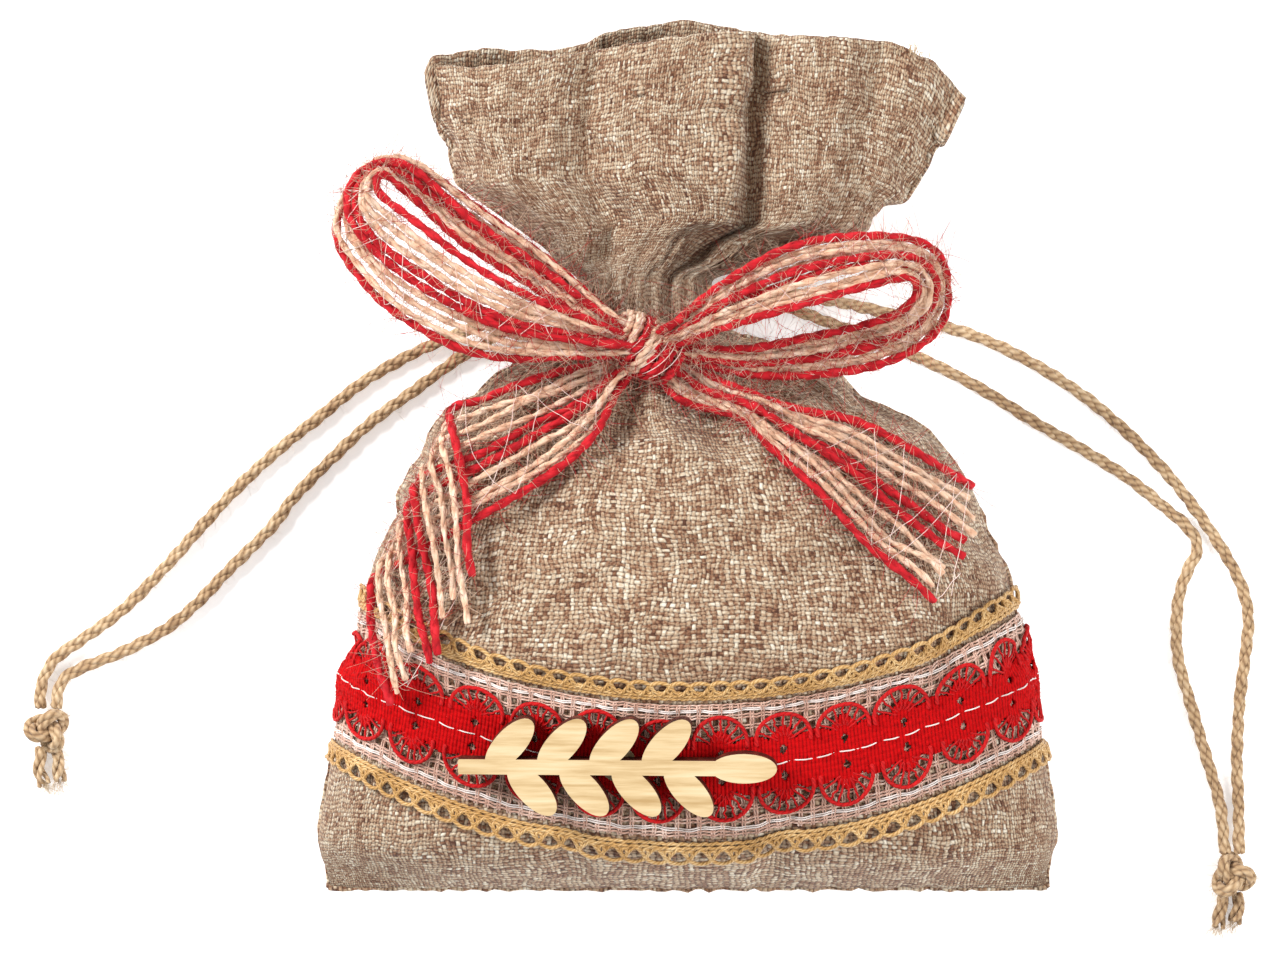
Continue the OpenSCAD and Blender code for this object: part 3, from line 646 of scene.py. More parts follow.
def cloth_grid(front):
    """Points of one side: rows from the bottom seam to the hem, columns from left to right."""
    s = np.linspace(-1, 1, COLS + 1)[None, :]
    up = 1.0 if front else -1.0
    t = np.linspace(0, 1, BODY_ROWS + 1)[:, None] ** 0.97
    hw = half_width(t) - DRAWN_IN * ease((t - 0.8) / 0.2)
    x = centre_x(t) + hw * np.sin(np.pi / 2 * s)
    y = BOTTOM_Y + 0.5 + t * (BODY_L - 0.5) + 0 * s
    dome = np.cos(np.pi / 2 * s)
    if front:
        z = seam_z(t) + front_rise(t) * dome ** mix(0.75, 0.5, t ** 4)
    else:
        drop = np.minimum(SEAM_Z * shaped(t, DROP_SHAPE), CLOTH_T + EDGE_SLOPE * BODY_L * t)
        z = np.maximum(0.3, seam_z(t) - drop * dome ** 0.5)
    table = FRONT_FOLDS if front else BACK_FOLDS
    folds = gather(s, 0.0, table)
    fan = 0.5 * np.cos(2 * np.pi * 4.5 * s + 0.6) + 0.45 * np.cos(2 * np.pi * 2.5 * s + 2.2)
    at_neck = 4.4 * (folds - 0.8) * ease((t - 0.8) / 0.15)
    on_belly = 2.2 * fan * ease((t - 0.55) / 0.3) * (1 - 0.6 * ease((t - 0.9) / 0.1))
    z = z + up * dome ** 0.5 * (at_neck + on_belly)
    channel = NECK_Z + up * dome ** 0.5 * (CHANNEL_Z + 1.5 * folds)
    if front:
        for dent_x, dent_y, wide, long, depth in DENTS:
            z = z - depth * np.exp(-((x - dent_x) / wide) ** 2 - ((y - dent_y) / long) ** 2)
    z = mix(z, channel, ease((t - 0.955) / 0.045))
    body = np.stack([x, y, z], axis=-1)

    r = np.linspace(0, 1, CASING_ROWS + 1)[1:, None]
    half = half_width(1.0) - DRAWN_IN
    x = NECK_X + half * np.sin(np.pi / 2 * s) + 0 * r
    z = channel[-1:] + up * 0.5 * np.sin(np.pi * r) * np.cos(np.pi / 2 * s)
    casing = np.stack([x, CASING_Y + r * (FRILL_Y - CASING_Y) + 0 * s, z], axis=-1)

    r = np.linspace(0, 1, FRILL_ROWS + 1)[1:, None]
    left, right = (np.interp(r, *np.array(edge).T) for edge in (LEFT_EDGE, RIGHT_EDGE))
    spread = mix(np.sin(np.pi / 2 * s), s, r ** 0.6)
    x = (left + right) / 2 + (right - left) / 2 * spread
    if front:
        x = x + 1.7 * ease(r * 1.6) * np.exp(-((s - 0.15) / 0.05) ** 2)
    rim = np.interp(mix(-36.8, 38, (spread + 1) / 2), *np.array(FRONT_RIM if front else BACK_RIM).T)
    y = FRILL_Y + r * (rim - FRILL_Y)
    floor_level = mix(CHANNEL_Z, 0.5, ease(r / 0.13))
    crest = mix(CHANNEL_Z + 1.5, 7.4 if front else 7.9, ease(r * 2)) + 0.7 * np.sin(np.pi * r)
    folds = gather(s, r, table)
    z = NECK_Z + up * (floor_level + (crest - floor_level) * folds) * np.cos(np.pi / 2 * s) ** 0.35
    frill = np.stack([x, y, np.maximum(z, 0.4)], axis=-1)
    return np.concatenate([body, casing, frill])


front_form, back_form = cloth_grid(True), cloth_grid(False)
back_form[:, 0], back_form[:, -1] = front_form[:, 0], front_form[:, -1]
print("cloth form", front_form.shape[0], "rows by", front_form.shape[1], "columns on each side")

# %% [markdown]
# ### Letting the cloth crumple
# The plain form is too smooth for cloth. A cloth simulation fills the pouch with a little pressure
# and lets the cloth be a few percent too large for its place, so it has to crumple. Pins hold the
# casing, and weak pins hold the rest near the measured form. The scene is worked at a larger scale
# because the solver likes pieces a metre or two long, and the movement is capped at the end.

# %% Cloth simulation
WORK_SCALE = 20.0
SIM_FRAMES = 22
MOVE_CAP, BAND_CAP = 3.2, 0.9
EASE_PASSES, EASE_ROWS = 8, 12
FRONT_FLOOR, BACK_FLOOR = 0.9, 0.45


def crumple(front, back):
    """The two grids after a simulation of the joined cloth."""
    rows, cols = front.shape[:2]
    ring = np.concatenate([front, back[:, -2:0:-1]], axis=1)
    around = ring.shape[1]
    rng = np.random.default_rng(5)
    start = ring + rng.normal(size=ring.shape) * 0.05
    i, j = np.meshgrid(np.arange(rows - 1), np.arange(around), indexing="ij")
    k = (j + 1) % around
    corners = [i * around + j, i * around + k, (i + 1) * around + k, (i + 1) * around + j]
    faces = np.stack(corners, axis=-1)
    mesh = bpy.data.meshes.new("crumple")
    mesh.from_pydata((start.reshape(-1, 3) * MM * WORK_SCALE).tolist(), [], faces.reshape(-1, 4).tolist())
    piece = bpy.data.objects.new("crumple", mesh)
    bpy.context.scene.collection.objects.link(piece)
    row = np.repeat(np.arange(rows), around)
    way = row / BODY_ROWS
    pin = np.where(way <= 1, 0.1 + 0.25 * ease((way - 0.75) / 0.25), 0.16)
    pin = np.where((row >= BODY_ROWS) & (row <= BODY_ROWS + CASING_ROWS), 1.0, pin)
    pin = np.where(row == 0, 0.7, pin)
    pin = np.where(row >= rows - 2, 0.3, pin)
    groups = {"pin": pin, "filled": np.where(way < 0.98, 1.0, 0.0)}
    for name, weights in groups.items():
        group = piece.vertex_groups.new(name=name)
        for index, weight in enumerate(weights):
            group.add([index], float(weight), "REPLACE")
    cloth = piece.modifiers.new("cloth", "CLOTH")
    settings = cloth.settings
    settings.quality = 6
    settings.mass = 0.25
    settings.tension_stiffness = settings.compression_stiffness = 18
    settings.shear_stiffness = 6
    settings.bending_stiffness = 0.35
    settings.tension_damping = settings.compression_damping = settings.shear_damping = 8
    settings.air_damping = 4
    settings.vertex_group_mass = "pin"
    settings.pin_stiffness = 1.2
    settings.use_pressure = True
    settings.uniform_pressure_force = 0.5
    settings.vertex_group_pressure = "filled"
    settings.shrink_min = -0.07
    settings.effector_weights.gravity = 0
    cloth.collision_settings.use_collision = False
    cloth.point_cache.frame_start, cloth.point_cache.frame_end = 1, SIM_FRAMES
    for step in range(1, SIM_FRAMES + 1):
        bpy.context.scene.frame_set(step)
    shaped_piece = piece.evaluated_get(bpy.context.evaluated_depsgraph_get())
    moved = np.empty(len(mesh.vertices) * 3)
    shaped_piece.data.vertices.foreach_get("co", moved)
    bpy.context.scene.frame_set(1)
    bpy.data.objects.remove(piece)
    moved = moved.reshape(ring.shape) / MM / WORK_SCALE
    shift = moved - ring
    size = np.linalg.norm(shift, axis=-1, keepdims=True)
    print("cloth moved", round(float(size.mean()), 2), "mm on average, at most",
          round(float(size.max()), 2))
    band = np.exp(-((ring[..., 1:2] + 40) / 11) ** 4) * (ring[..., 2:] > SEAM_Z)
    cap = mix(MOVE_CAP, BAND_CAP, band) * (0.15 + 0.85 * ease((ring[..., 1:2] - BOTTOM_Y) / 9))
    ring = ring + shift * np.minimum(1, cap / np.maximum(size, 1e-9))
    back_part = np.concatenate([ring[:, :1], ring[:, cols - 1:][:, ::-1]], axis=1)
    return ring[:, :cols], back_part[:, :cols]


front_points, back_points = front_form, back_form
front_points, back_points = crumple(front_form, back_form)
for _ in range(EASE_PASSES):
    for grid in (front_points, back_points):
        eased = slice(1, EASE_ROWS + 1)
        grid[eased] = mix(grid[eased], (grid[:EASE_ROWS] + grid[2:EASE_ROWS + 2]) / 2, 0.5)
front_points[..., 2] = np.maximum(front_points[..., 2], FRONT_FLOOR)
back_points[..., 2] = np.maximum(back_points[..., 2], BACK_FLOOR)

# %% [markdown]
# ### Front and back cloth
# The rim is folded over inwards, so the grid goes on past the rim, turns over a small radius and
# comes back down inside. The cloth gets its thickness from a Solidify modifier
# that works inwards, and the UV map counts real millimetres so that the weave keeps its size.
# Each side is cut from a flat piece 116 mm wide and 136 mm long: a pouch of 105 by 130 mm, with a
# little more for the seams and the hem.

# %% Make the cloth pieces
HEM_R = 0.85
HEM_DEPTH = 7.0
SHELL_T = 0.55
SHEET_FLAT = (0.116, 0.136)


def with_hem(grid, up):
    """The grid with a folded hem after its last row."""
    rim, before = grid[-1], grid[-4]
    out = unit(rim - before)
    inward = np.zeros_like(rim)
    inward[:, 2] = -up
    inward = unit(inward - out * (inward * out).sum(-1, keepdims=True))
    centre = rim + inward * HEM_R
    rows = [centre - inward * HEM_R * math.cos(a) + out * HEM_R * math.sin(a)
            for a in (0.5, 1.05, 1.6, 2.1, 2.7)]
    rows += [centre + inward * HEM_R * 0.9 - out * d for d in (1.0, HEM_DEPTH * 0.5, HEM_DEPTH)]
    return np.concatenate([grid, rows])


def cloth_uv(grid, offset):
    """Millimetres along and across the cloth: even across, true along."""
    step = np.linalg.norm(np.diff(grid, axis=0), axis=-1).mean(axis=1)
    along = np.concatenate([[0], np.cumsum(step)])
    across = np.linspace(-SHEET_FLAT[0] / 2, SHEET_FLAT[0] / 2, grid.shape[1]) / MM
    print("cloth is", round(along[-1]), "mm long, widest", round(
        np.linalg.norm(np.diff(grid, axis=1), axis=-1).sum(axis=1).max()), "mm")
    return np.stack([across[None, :] + 0 * along[:, None] + offset,
                     along[:, None] + 0 * across[None, :]], axis=-1)


def finished(piece, name, kind, **settings):
    """Adds a modifier and applies it."""
    modifier = piece.modifiers.new(name, kind)
    for key, value in settings.items():
        setattr(modifier, key, value)
    bpy.ops.object.select_all(action="DESELECT")
    bpy.context.view_layer.objects.active = piece
    piece.select_set(True)
    bpy.ops.object.modifier_apply(modifier=modifier.name)


def make_cloth(name, grid, up, offset, nodes):
    """One side of the pouch as a finished cloth."""
    hemmed = with_hem(grid, up)
    batch = Batch()
    batch.grid(hemmed, cloth_uv(hemmed, offset), flip=up < 0)
    piece = batch.make(name, [burlap])
    finished(piece, "round", "SUBSURF", levels=1, render_levels=1)
    finished(piece, "thick", "SOLIDIFY", thickness=SHELL_T * MM, offset=-1, use_even_offset=False)
    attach(piece, "pouch")
    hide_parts(*nodes)


make_cloth("front_cloth", front_points, 1, 0.0, ["front_panel", "front_casing", "front_frill"])
make_cloth("back_cloth", back_points, -1, 200.0, ["back_panel", "back_casing", "back_frill"])


def seam_ridge(name, line, node, outward, seed):
    """A sewn edge: the turned cloth as a thin roll."""
    rng = np.random.default_rng(seed)
    line = resampled(line, 1.1)
    wobble = rng.normal(size=(len(line), 1)) * 0.06
    batch = Batch()
    batch.tube(line + wobble * outward, 0.42 + 0.05 * rng.normal(size=len(line)), 10)
    piece = batch.make(name, [burlap])
    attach(piece, "pouch")
    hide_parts(node)


seam_ridge("left_seam_roll", front_points[:BODY_ROWS + 1, 0], "left_side_seam", [-1, 0, 0], 31)
seam_ridge("right_seam_roll", front_points[:BODY_ROWS + 1, -1], "right_side_seam", [1, 0, 0], 32)
seam_ridge("bottom_seam_roll", (front_points[0] + back_points[0]) / 2, "bottom_seam", [0, -1, 0], 33)

TUFT_HAIRS, RIM_HAIRS = 26, 60
rng = np.random.default_rng(34)
tuft = Batch()
corner = front_points[-1, int(COLS * 0.9)]
starts = corner + rng.normal(size=(TUFT_HAIRS, 3)) * [1.6, 0.3, 0.4]
hairs(tuft, starts, np.tile([0.15, 0.95, 0.1], (TUFT_HAIRS, 1)), 2.4, rng, 0, 0.09, 0.3)
starts = front_points[-1][rng.integers(3, COLS - 2, RIM_HAIRS)]
hairs(tuft, starts, np.tile([0, 1.0, 0.3], (RIM_HAIRS, 1)), 1.5, rng, 0, 0.03)
tuft_piece = tuft.make("frayed_rim_threads", [jute_hair])
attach(tuft_piece, "pouch")

# %% [markdown]
# ### Finding a place on the front
# The trims, the ornament and the bow lie on the crumpled front, so they need its height and its
# outward direction. One function reads them from the grid at a column s and a height y. A second
# reads the highest cloth under a point on the table.

# %% Places on the front cloth
front_normals = unit(np.cross(np.gradient(front_points, axis=1), np.gradient(front_points, axis=0)))


def read_grid(grid, row, col):
    """A grid's value between its points."""
    row, col = np.clip(row, 0, grid.shape[0] - 1.001), np.clip(col, 0, grid.shape[1] - 1.001)
    i, j = row.astype(int), col.astype(int)
    f, g = (row - i)[..., None], (col - j)[..., None]
    return ((grid[i, j] * (1 - g) + grid[i, j + 1] * g) * (1 - f)
            + (grid[i + 1, j] * (1 - g) + grid[i + 1, j + 1] * g) * f)


def on_front(s, y, h):
    """A point h millimetres off the front cloth at column s, -1 to 1, and height y."""
    s, y, h = np.broadcast_arrays(np.asarray(s, float), np.asarray(y, float), np.asarray(h, float))
    col = (s + 1) / 2 * COLS
    row = np.clip((y - BOTTOM_Y - 0.5) / (BODY_L - 0.5), 0, 1) ** (1 / 0.97) * BODY_ROWS
    return read_grid(front_points, row, col) + h[..., None] * unit(read_grid(front_normals, row, col))


flat_points = front_points[:BODY_ROWS + CASING_ROWS + FRILL_ROWS].reshape(-1, 3)


def cloth_top(x, y, reach=2.2):
    """Height of the highest cloth within reach of a place."""
    near = np.hypot(flat_points[:, 0] - x, flat_points[:, 1] - y) < reach
    return float(flat_points[near, 2].max()) if near.any() else 0.0


print("cloth is", round(cloth_top(0, -25), 1), "mm high over the belly")

# %% [markdown]
# ## The band of trims
# Five narrow trims cross the belly in one curved band: an open net of jute, a red crochet lace on
# top of it, two white running threads, and a gold braid above and below. They are all drawn in
# band coordinates: millimetres along the band's middle line, millimetres above it, and height off
# the cloth. One function turns those into places on the crumpled front.

# %% Band coordinates
BAND_Y, BAND_RISE = 18.9, 12.3
NET_W, BRAID_W = 18.0, 2.6
BAND_END = 0.985


def band_middle(s):
    return BOTTOM_Y + BAND_Y + BAND_RISE * np.sin(np.pi / 2 * s) ** 2


band_s = np.linspace(-BAND_END, BAND_END, 400)
band_line = on_front(band_s, band_middle(band_s), 0.5)
band_along = np.concatenate([[0], np.cumsum(np.linalg.norm(np.diff(band_line, axis=0), axis=1))])
band_along = band_along - np.interp(0, band_s, band_along)


def on_band(along, off, h):
    """Places from millimetres along the band, above its middle line and off the cloth."""
    along, off, h = np.broadcast_arrays(*(np.asarray(v, float) for v in (along, off, h)))
    s = np.interp(along, band_along, band_s)
    return on_front(s, band_middle(s) + off, h)


def trim(batch, name, materials, node):
    """A finished trim that rides on the pouch in place of the measured one."""
    piece = batch.make(name, materials)
    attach(piece, "pouch")
    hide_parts(node)
    return piece


# %% [markdown]
# ### Jute net
# The net is an open plain weave of soft yarns in pairs, one pair every 1.5 mm each way. Each pair
# rises over one crossing and dips under the next.

# %% Net
NET_PITCH = 1.5
net_yarn = yarn_material("net_yarn", ["#6e4434", "#a17662", "#c9a08c", "#e6cdbe"], 0.9, depth_mm=0.05)
net = Batch()
rng = np.random.default_rng(40)
ends = band_along[[0, -1]]
for k in range(12):
    along = np.arange(ends[0], ends[1], NET_PITCH / 2)
    lift = 0.34 + 0.14 * np.cos(np.pi * (along / NET_PITCH + k))
    off = (k - 5.5) * NET_PITCH + 0.06 * rng.normal(size=len(along))
    for pair in (-0.2, 0.2):
        net.tube(on_band(along, off + pair, lift), 0.17, 4)
for k, along in enumerate(np.arange(ends[0] + 0.4, ends[1], NET_PITCH)):
    off = np.arange(-8.75, 8.8, NET_PITCH / 2)
    place = along + 0.12 * rng.normal() + 0.05 * rng.normal(size=len(off))
    lift = 0.34 - 0.14 * np.cos(np.pi * ((off + 8.25) / NET_PITCH + k))
    for pair in (-0.18, 0.18):
        net.tube(on_band(place + pair, off, lift), 0.16, 4)
net_piece = trim(net, "jute_net", [net_yarn], "net_band")

# %% [markdown]
# ### Red lace
# The lace repeats every 8.6 mm: a filled oval, then a pair of small holes with a fan above and
# below them. A thin scalloped cord arches over each fan and dips to each oval, and seven fine
# threads spread out to it. The filled part is a fine grid with cells left out where the pattern
# is open, and its fine ribs are in the material.

# %% Lace
LACE_REPEAT = 8.6
LACE_CELL = 0.26
LACE_T = 0.4
lace_red, lace_tree, lace_shader = new_material("red_crochet_cotton", 0.8, 1.5, 0.0, 0.1)
uv = add(lace_tree, "ShaderNodeUVMap", {"uv_map": "mm"}).outputs[0]
parts = add(lace_tree, "ShaderNodeSeparateXYZ", i0=uv)
rib = maths(lace_tree, "ABSOLUTE", maths(lace_tree, "SINE", maths(lace_tree, "MULTIPLY", parts.outputs[1],
                                                                   math.pi / 0.52)))
row = maths(lace_tree, "ABSOLUTE", maths(lace_tree, "SINE", maths(lace_tree, "MULTIPLY", parts.outputs[0],
                                                                   math.pi / 0.8)))
place = add(lace_tree, "ShaderNodeTexCoord").outputs["Object"]
fuzz = add(lace_tree, "ShaderNodeTexNoise", Vector=place, Scale=1500.0, Detail=3.0).outputs["Fac"]
# Painted shade between the ribs: rib is low there, so the red goes darker.
shade = maths(lace_tree, "ADD", maths(lace_tree, "MULTIPLY", rib, 0.4),
              maths(lace_tree, "MULTIPLY", fuzz, 0.6))
red = ramp(lace_tree, shade, [(0.2, "#600001"), (0.42, "#a00103"), (0.75, "#bf0307")])
lace_tree.links.new(red, lace_shader.inputs["Base Color"])
bump(lace_tree, lace_shader, maths(lace_tree, "ADD", shade, maths(lace_tree, "MULTIPLY", row, 0.3)), 0.18)
red_cord = yarn_material("red_lace_cord", ["#7c0204", "#ae0408", "#c80a0e"], 0.9, 0.8, 0.0, 0.08)


def lace_is_filled(along, off):
    """True where the lace is worked solid."""
    u = (along % LACE_REPEAT) - LACE_REPEAT / 2
    oval = 3.8 * np.sqrt(np.clip(1 - ((np.abs(u) - LACE_REPEAT / 2) / 4.4) ** 2, 0, 1))
    fan = 4.9 * np.sqrt(np.clip(1 - (u / 2.3) ** 2, 0, 1))
    hole = np.abs(u) / 0.62 + np.abs(np.abs(off) - 1.75) / 0.75 < 1
    return (np.abs(off) < np.maximum(oval, fan)) & ~hole


along, off = np.meshgrid(np.arange(ends[0], ends[1], LACE_CELL), np.arange(-5.2, 5.21, LACE_CELL),
                         indexing="ij")
middle = along[:-1, :-1] + LACE_CELL / 2, off[:-1, :-1] + LACE_CELL / 2
crown = 0.95 + 0.12 * np.cos(off / 3.3) + 0.06 * np.random.default_rng(41).normal(size=off.shape)
pad = Batch()
pad.grid(on_band(along, off, crown), np.stack([off, along], axis=-1),
         keep=lace_is_filled(*middle), flip=True)
lace_pad = trim(pad, "red_lace_filling", [lace_red], "red_lace")
finished(lace_pad, "thick", "SOLIDIFY", thickness=LACE_T * MM, offset=-1, use_even_offset=False)
scallops = Batch()
rng = np.random.default_rng(42)
first = math.floor(ends[0] / LACE_REPEAT)
for k in range(first, -first + 1):
    for side in (-1, 1):
        a = np.radians(np.linspace(-102, 102, 26))
        wide, tall = 3.7 + 0.15 * rng.normal(), 3.3 + 0.2 * rng.normal()
        middle_u = (k + 0.5) * LACE_REPEAT + 0.3 * rng.normal()
        u = middle_u + wide * np.sin(a)
        v = side * (3.3 + tall * np.cos(a))
        inside = (u > ends[0] + 0.4) & (u < ends[1] - 0.4)
        if inside.sum() > 13:
            scallops.tube(on_band(u[inside], v[inside], 1.1 - 0.2 * np.cos(a[inside])), 0.29, 7)
        for lean in np.radians((-70, -45, -22, 0, 22, 45, 70)):
            reach = np.linspace(0.25, 1, 8)
            u = middle_u + wide * np.sin(lean) * reach + 0.12 * rng.normal(size=8)
            v = side * (2.6 + (0.7 + tall * np.cos(lean)) * reach)
            if ends[0] + 0.4 < u.min() and u.max() < ends[1] - 0.4:
                scallops.tube(on_band(u, v, 0.95), 0.17, 5)
trim(scallops, "red_lace_scallops", [red_cord], "red_lace")

# %% [markdown]
# ### Threads and braids
# A pale stitching thread runs along the lace in short stitches. Two shiny white threads lie along
# the net's edges. The gold braids are a flat edge with a row of loops: the loops are one thread
# that curls back on itself, as a drawn circle does when the paper is pulled along.

# %% Stitches, white threads and gold braids
white_floss = yarn_material("white_floss", ["#b9a7a0", "#dccfc8", "#f6efea"], 1.1, 0.35, 0.05, 0.03)
gold_floss = yarn_material("gold_floss", ["#6e4a20", "#a4783c", "#c0955a", "#dfc08c"], 0.7, 0.42, 0.1,
                           0.07, 3)
GOLD_REPEAT = 2.85

stitches = Batch()
along = np.arange(ends[0], ends[1], 0.31)
stitches.tube(on_band(along, 0.1 * np.sin(along), 1.12 + 0.2 * np.cos(2 * np.pi * along / 3.1)), 0.095, 5)
trim(stitches, "lace_running_stitch", [white_floss], "lace_stitch")

for name, side in (("upper", 1), ("lower", -1)):
    rng = np.random.default_rng(50 + side)
    along = np.arange(ends[0], ends[1], 0.5)
    thread = Batch()
    lift = 0.5 + 0.2 * np.cos(2 * np.pi * along / 3.0)
    for pair in (-0.12, 0.12):
        thread.tube(on_band(along, side * 7.6 + pair + 0.12 * np.sin(along * 0.8 + side), lift), 0.11, 5)
    trim(thread, name + "_white_floss", [white_floss], name + "_white_thread")

    braid = Batch()
    centre = side * (NET_W / 2 + 0.3 + BRAID_W / 2)
    for edge, lift in ((-1.15, 0.5), (-0.72, 0.62), (-0.32, 0.5)):
        wave = 0.09 * np.sin(2 * np.pi * along / 1.4 + edge * 9)
        braid.tube(on_band(along, centre + side * (edge + wave), lift), 0.27, 6)
    turn = np.arange(ends[0] / GOLD_REPEAT, ends[1] / GOLD_REPEAT, 0.045) * 2 * np.pi
    loops = GOLD_REPEAT * turn / (2 * np.pi) - 0.98 * np.sin(turn)
    height = 0.42 - 0.82 * np.cos(turn)
    inside = (loops > ends[0]) & (loops < ends[1])
    lift = 0.62 + 0.2 * np.sin(turn[inside] / 2) ** 2
    braid.tube(on_band(loops[inside], centre + side * height[inside], lift), 0.3, 6)
    zigzag = -0.1 + 0.55 * np.cos(2 * np.pi * along / GOLD_REPEAT)
    braid.tube(on_band(along, centre + side * zigzag, 0.78), 0.24, 6)
    trim(braid, name + "_gold_loops", [gold_floss], name + "_gold_braid")

# %% [markdown]
# ## The bow
# The ribbon is ten jute yarns side by side, dyed red at the edges and in the middle and natural
# between, and held by thin pale threads that cross them. Each part of the bow is a strip of space
# given by a few stations, and every yarn follows the strip at its own place across it, with a
# little wander, so the yarns spread and bunch like real ones.

# %% Bow shapes
RIBBON_W = 17.0
YARN_D = 1.1
YARN_STEP = 0.8
HAIRS_PER_STEP, HAIR_LENGTH, HAIR_R = 2.4, 4.6, 0.042
YARN_SLOTS = [0, 1, 1, 1, 0, 0, 1, 1, 1, 0]
red_yarn = yarn_material("red_jute_yarn", ["#7c0410", "#a80616", "#c00c1c", "#d02630"], 3.4, 0.8,
                         0.03, 0.08, 1)
natural_yarn = yarn_material("natural_jute_yarn", ["#ab7b5c", "#d6a687", "#e8c4a6", "#f4dcc8"], 3.4,
                             0.8, 0.12, 0.08, 1)
pale_thread = yarn_material("pale_binding_thread", ["#d9a8a0", "#f0d2c8", "#fbeae2"], 1.0, 0.5, 0.2, 0.02)
BOW_MATERIALS = [red_yarn, natural_yarn, pale_thread]

# Outer and inner edge of each loop, as [x, y, z from the knot's middle] in the frame.
LEFT_LOOP = [[[-6, 14.2, 1.5], [-6, 16.4, 1.5]], [[-9.5, 13.9, 2.4], [-9.5, 16.9, 2.6]],
             [[-16, 13.6, 3.4], [-15, 19, 4.6]], [[-26, 13.7, 2.6], [-23, 22.4, 5.6]],
             [[-34.6, 16.3, 2.2], [-31, 27, 5.2]], [[-43, 21.6, 1.2], [-37.5, 31.6, 5]],
             [[-48.4, 29, -0.6], [-42.4, 35.4, 4.4]], [[-48, 35.6, -1.6], [-43.4, 37.6, 3.8]],
             [[-44, 40.2, -1.4], [-42, 38.8, 2.6]], [[-38.2, 40.9, -1.6], [-38.5, 36.4, 0.6]],
             [[-30.5, 35.4, -1.6], [-31, 29.5, 0.2]], [[-20, 27.8, -0.6], [-20, 22.6, 0.6]],
             [[-11.5, 20.3, 0.4], [-11.5, 17.4, 1.2]], [[-6, 15.6, 0.4], [-6, 15, 1]]]
RIGHT_LOOP = [[[-6, 16.4, 1.6], [-6, 14.6, 1.6]], [[-2, 18, 2.6], [-2, 15.4, 2.8]],
              [[4.6, 23.4, 3.2], [5, 17.6, 4.6]], [[15, 28.6, 2.6], [14, 20.4, 5.6]],
              [[25.6, 30, 1.8], [23, 23.2, 5]], [[32.4, 28.8, 0.6], [29, 24.6, 4.4]],
              [[35.2, 25.4, -0.6], [31.2, 23.8, 3.6]], [[35.2, 20.4, -1.4], [31.2, 21.6, 2.4]],
              [[32.4, 15.9, -1.8], [28.6, 19.6, 0.6]], [[26, 12.9, -1.8], [23, 17.8, -0.2]],
              [[17, 11.4, -1.2], [15, 16, 0]], [[8, 11.3, -0.2], [7, 14.8, 0.6]],
              [[0.6, 13.3, 0.4], [0, 14.8, 1]], [[-6, 15.4, 0.4], [-6, 15, 1]]]
# The two edges of each tail, as [x, y, x, y] from the knot, and the height above the cloth.
LEFT_TAIL = [[-1.5, -0.8, -1, -2.6, 2.6], [-5.7, -2.2, -4, -6.2, 1.5], [-12, -3.6, -7.5, -13, 1.4],
             [-19, -5.6, -15, -19, 1.4], [-23.8, -7.4, -27, -25.8, 1.3],
             [-26.2, -8.1, -36.4, -31.2, 1.4], [-27, -9.0, -37.6, -32.3, 2.2],
             [-26.6, -10.6, -37.9, -33.8, 3.1], [-25.2, -14.9, -38.2, -37.4, 3.1],
             [-24.3, -21, -37.4, -41, 3], [-24, -28, -36.4, -44.8, 2.9], [-23.1, -36.4, -35, -49.2, 2.8]]
RIGHT_TAIL = [[1.5, -0.8, 1, -2.6, 2.6], [5.7, -2.2, 4, -6.2, 1.5], [9.4, -4.6, 8.4, -7.8, 1.6],
              [13.4, -6.6, 14, -10, 1.8], [20, -8.8, 17.6, -13.6, 1.5], [28.6, -10.6, 23, -19, 1.4],
              [38.3, -15.2, 30, -27, 1.5], [43.4, -17.8, 36, -32, 1.7], [47.6, -20.2, 41, -36.4, 2.2]]

# A map of the cloth's height, one cell to a square millimetre.
MAP_X, MAP_Y = -58, -64
MAP_CELLS = (117, 95)
dense = front_points[:BODY_ROWS + CASING_ROWS]
dense = np.concatenate([dense, (dense[:, 1:] + dense[:, :-1]) / 2], axis=1).reshape(-1, 3)
height = np.zeros(MAP_CELLS)
cells = np.rint(dense[:, :2] - [MAP_X, MAP_Y]).astype(int)
cells = np.clip(cells, 0, np.array(MAP_CELLS) - 1)
np.maximum.at(height, (cells[:, 0], cells[:, 1]), dense[:, 2])
rest_height = height.copy()
for step in range(9):
    padded = np.pad(rest_height, 1, mode="edge")
    near = np.stack([padded[:-2, 1:-1], padded[2:, 1:-1], padded[1:-1, :-2], padded[1:-1, 2:],
                     rest_height])
    rest_height = near.max(axis=0) if step < 2 else near.mean(axis=0)


def rest_on_cloth(x, y):
    """Height of a slightly stiff ribbon that lies on the front."""
    row, col = np.asarray(x, float) - MAP_X, np.asarray(y, float) - MAP_Y
    return read_grid(rest_height[..., None], row, col)[..., 0]


def stations_to_strip(stations):
    """A table of stations as a smooth table with ten rows from each station to the next."""
    table = np.asarray(stations, float)
    fine = np.linspace(0, len(table) - 1, (len(table) - 1) * 10 + 1)
    wide = np.vstack([2 * table[0] - table[1], table, 2 * table[-1] - table[-2]])
    i = np.minimum(fine.astype(int), len(table) - 2)
    t = (fine - i)[:, None]
    a, b, c, d = wide[i], wide[i + 1], wide[i + 2], wide[i + 3]
    square, cube = 2 * a - 5 * b + 4 * c - d, 3 * b - a - 3 * c + d
    return 0.5 * (2 * b + (c - a) * t + square * t ** 2 + cube * t ** 3)


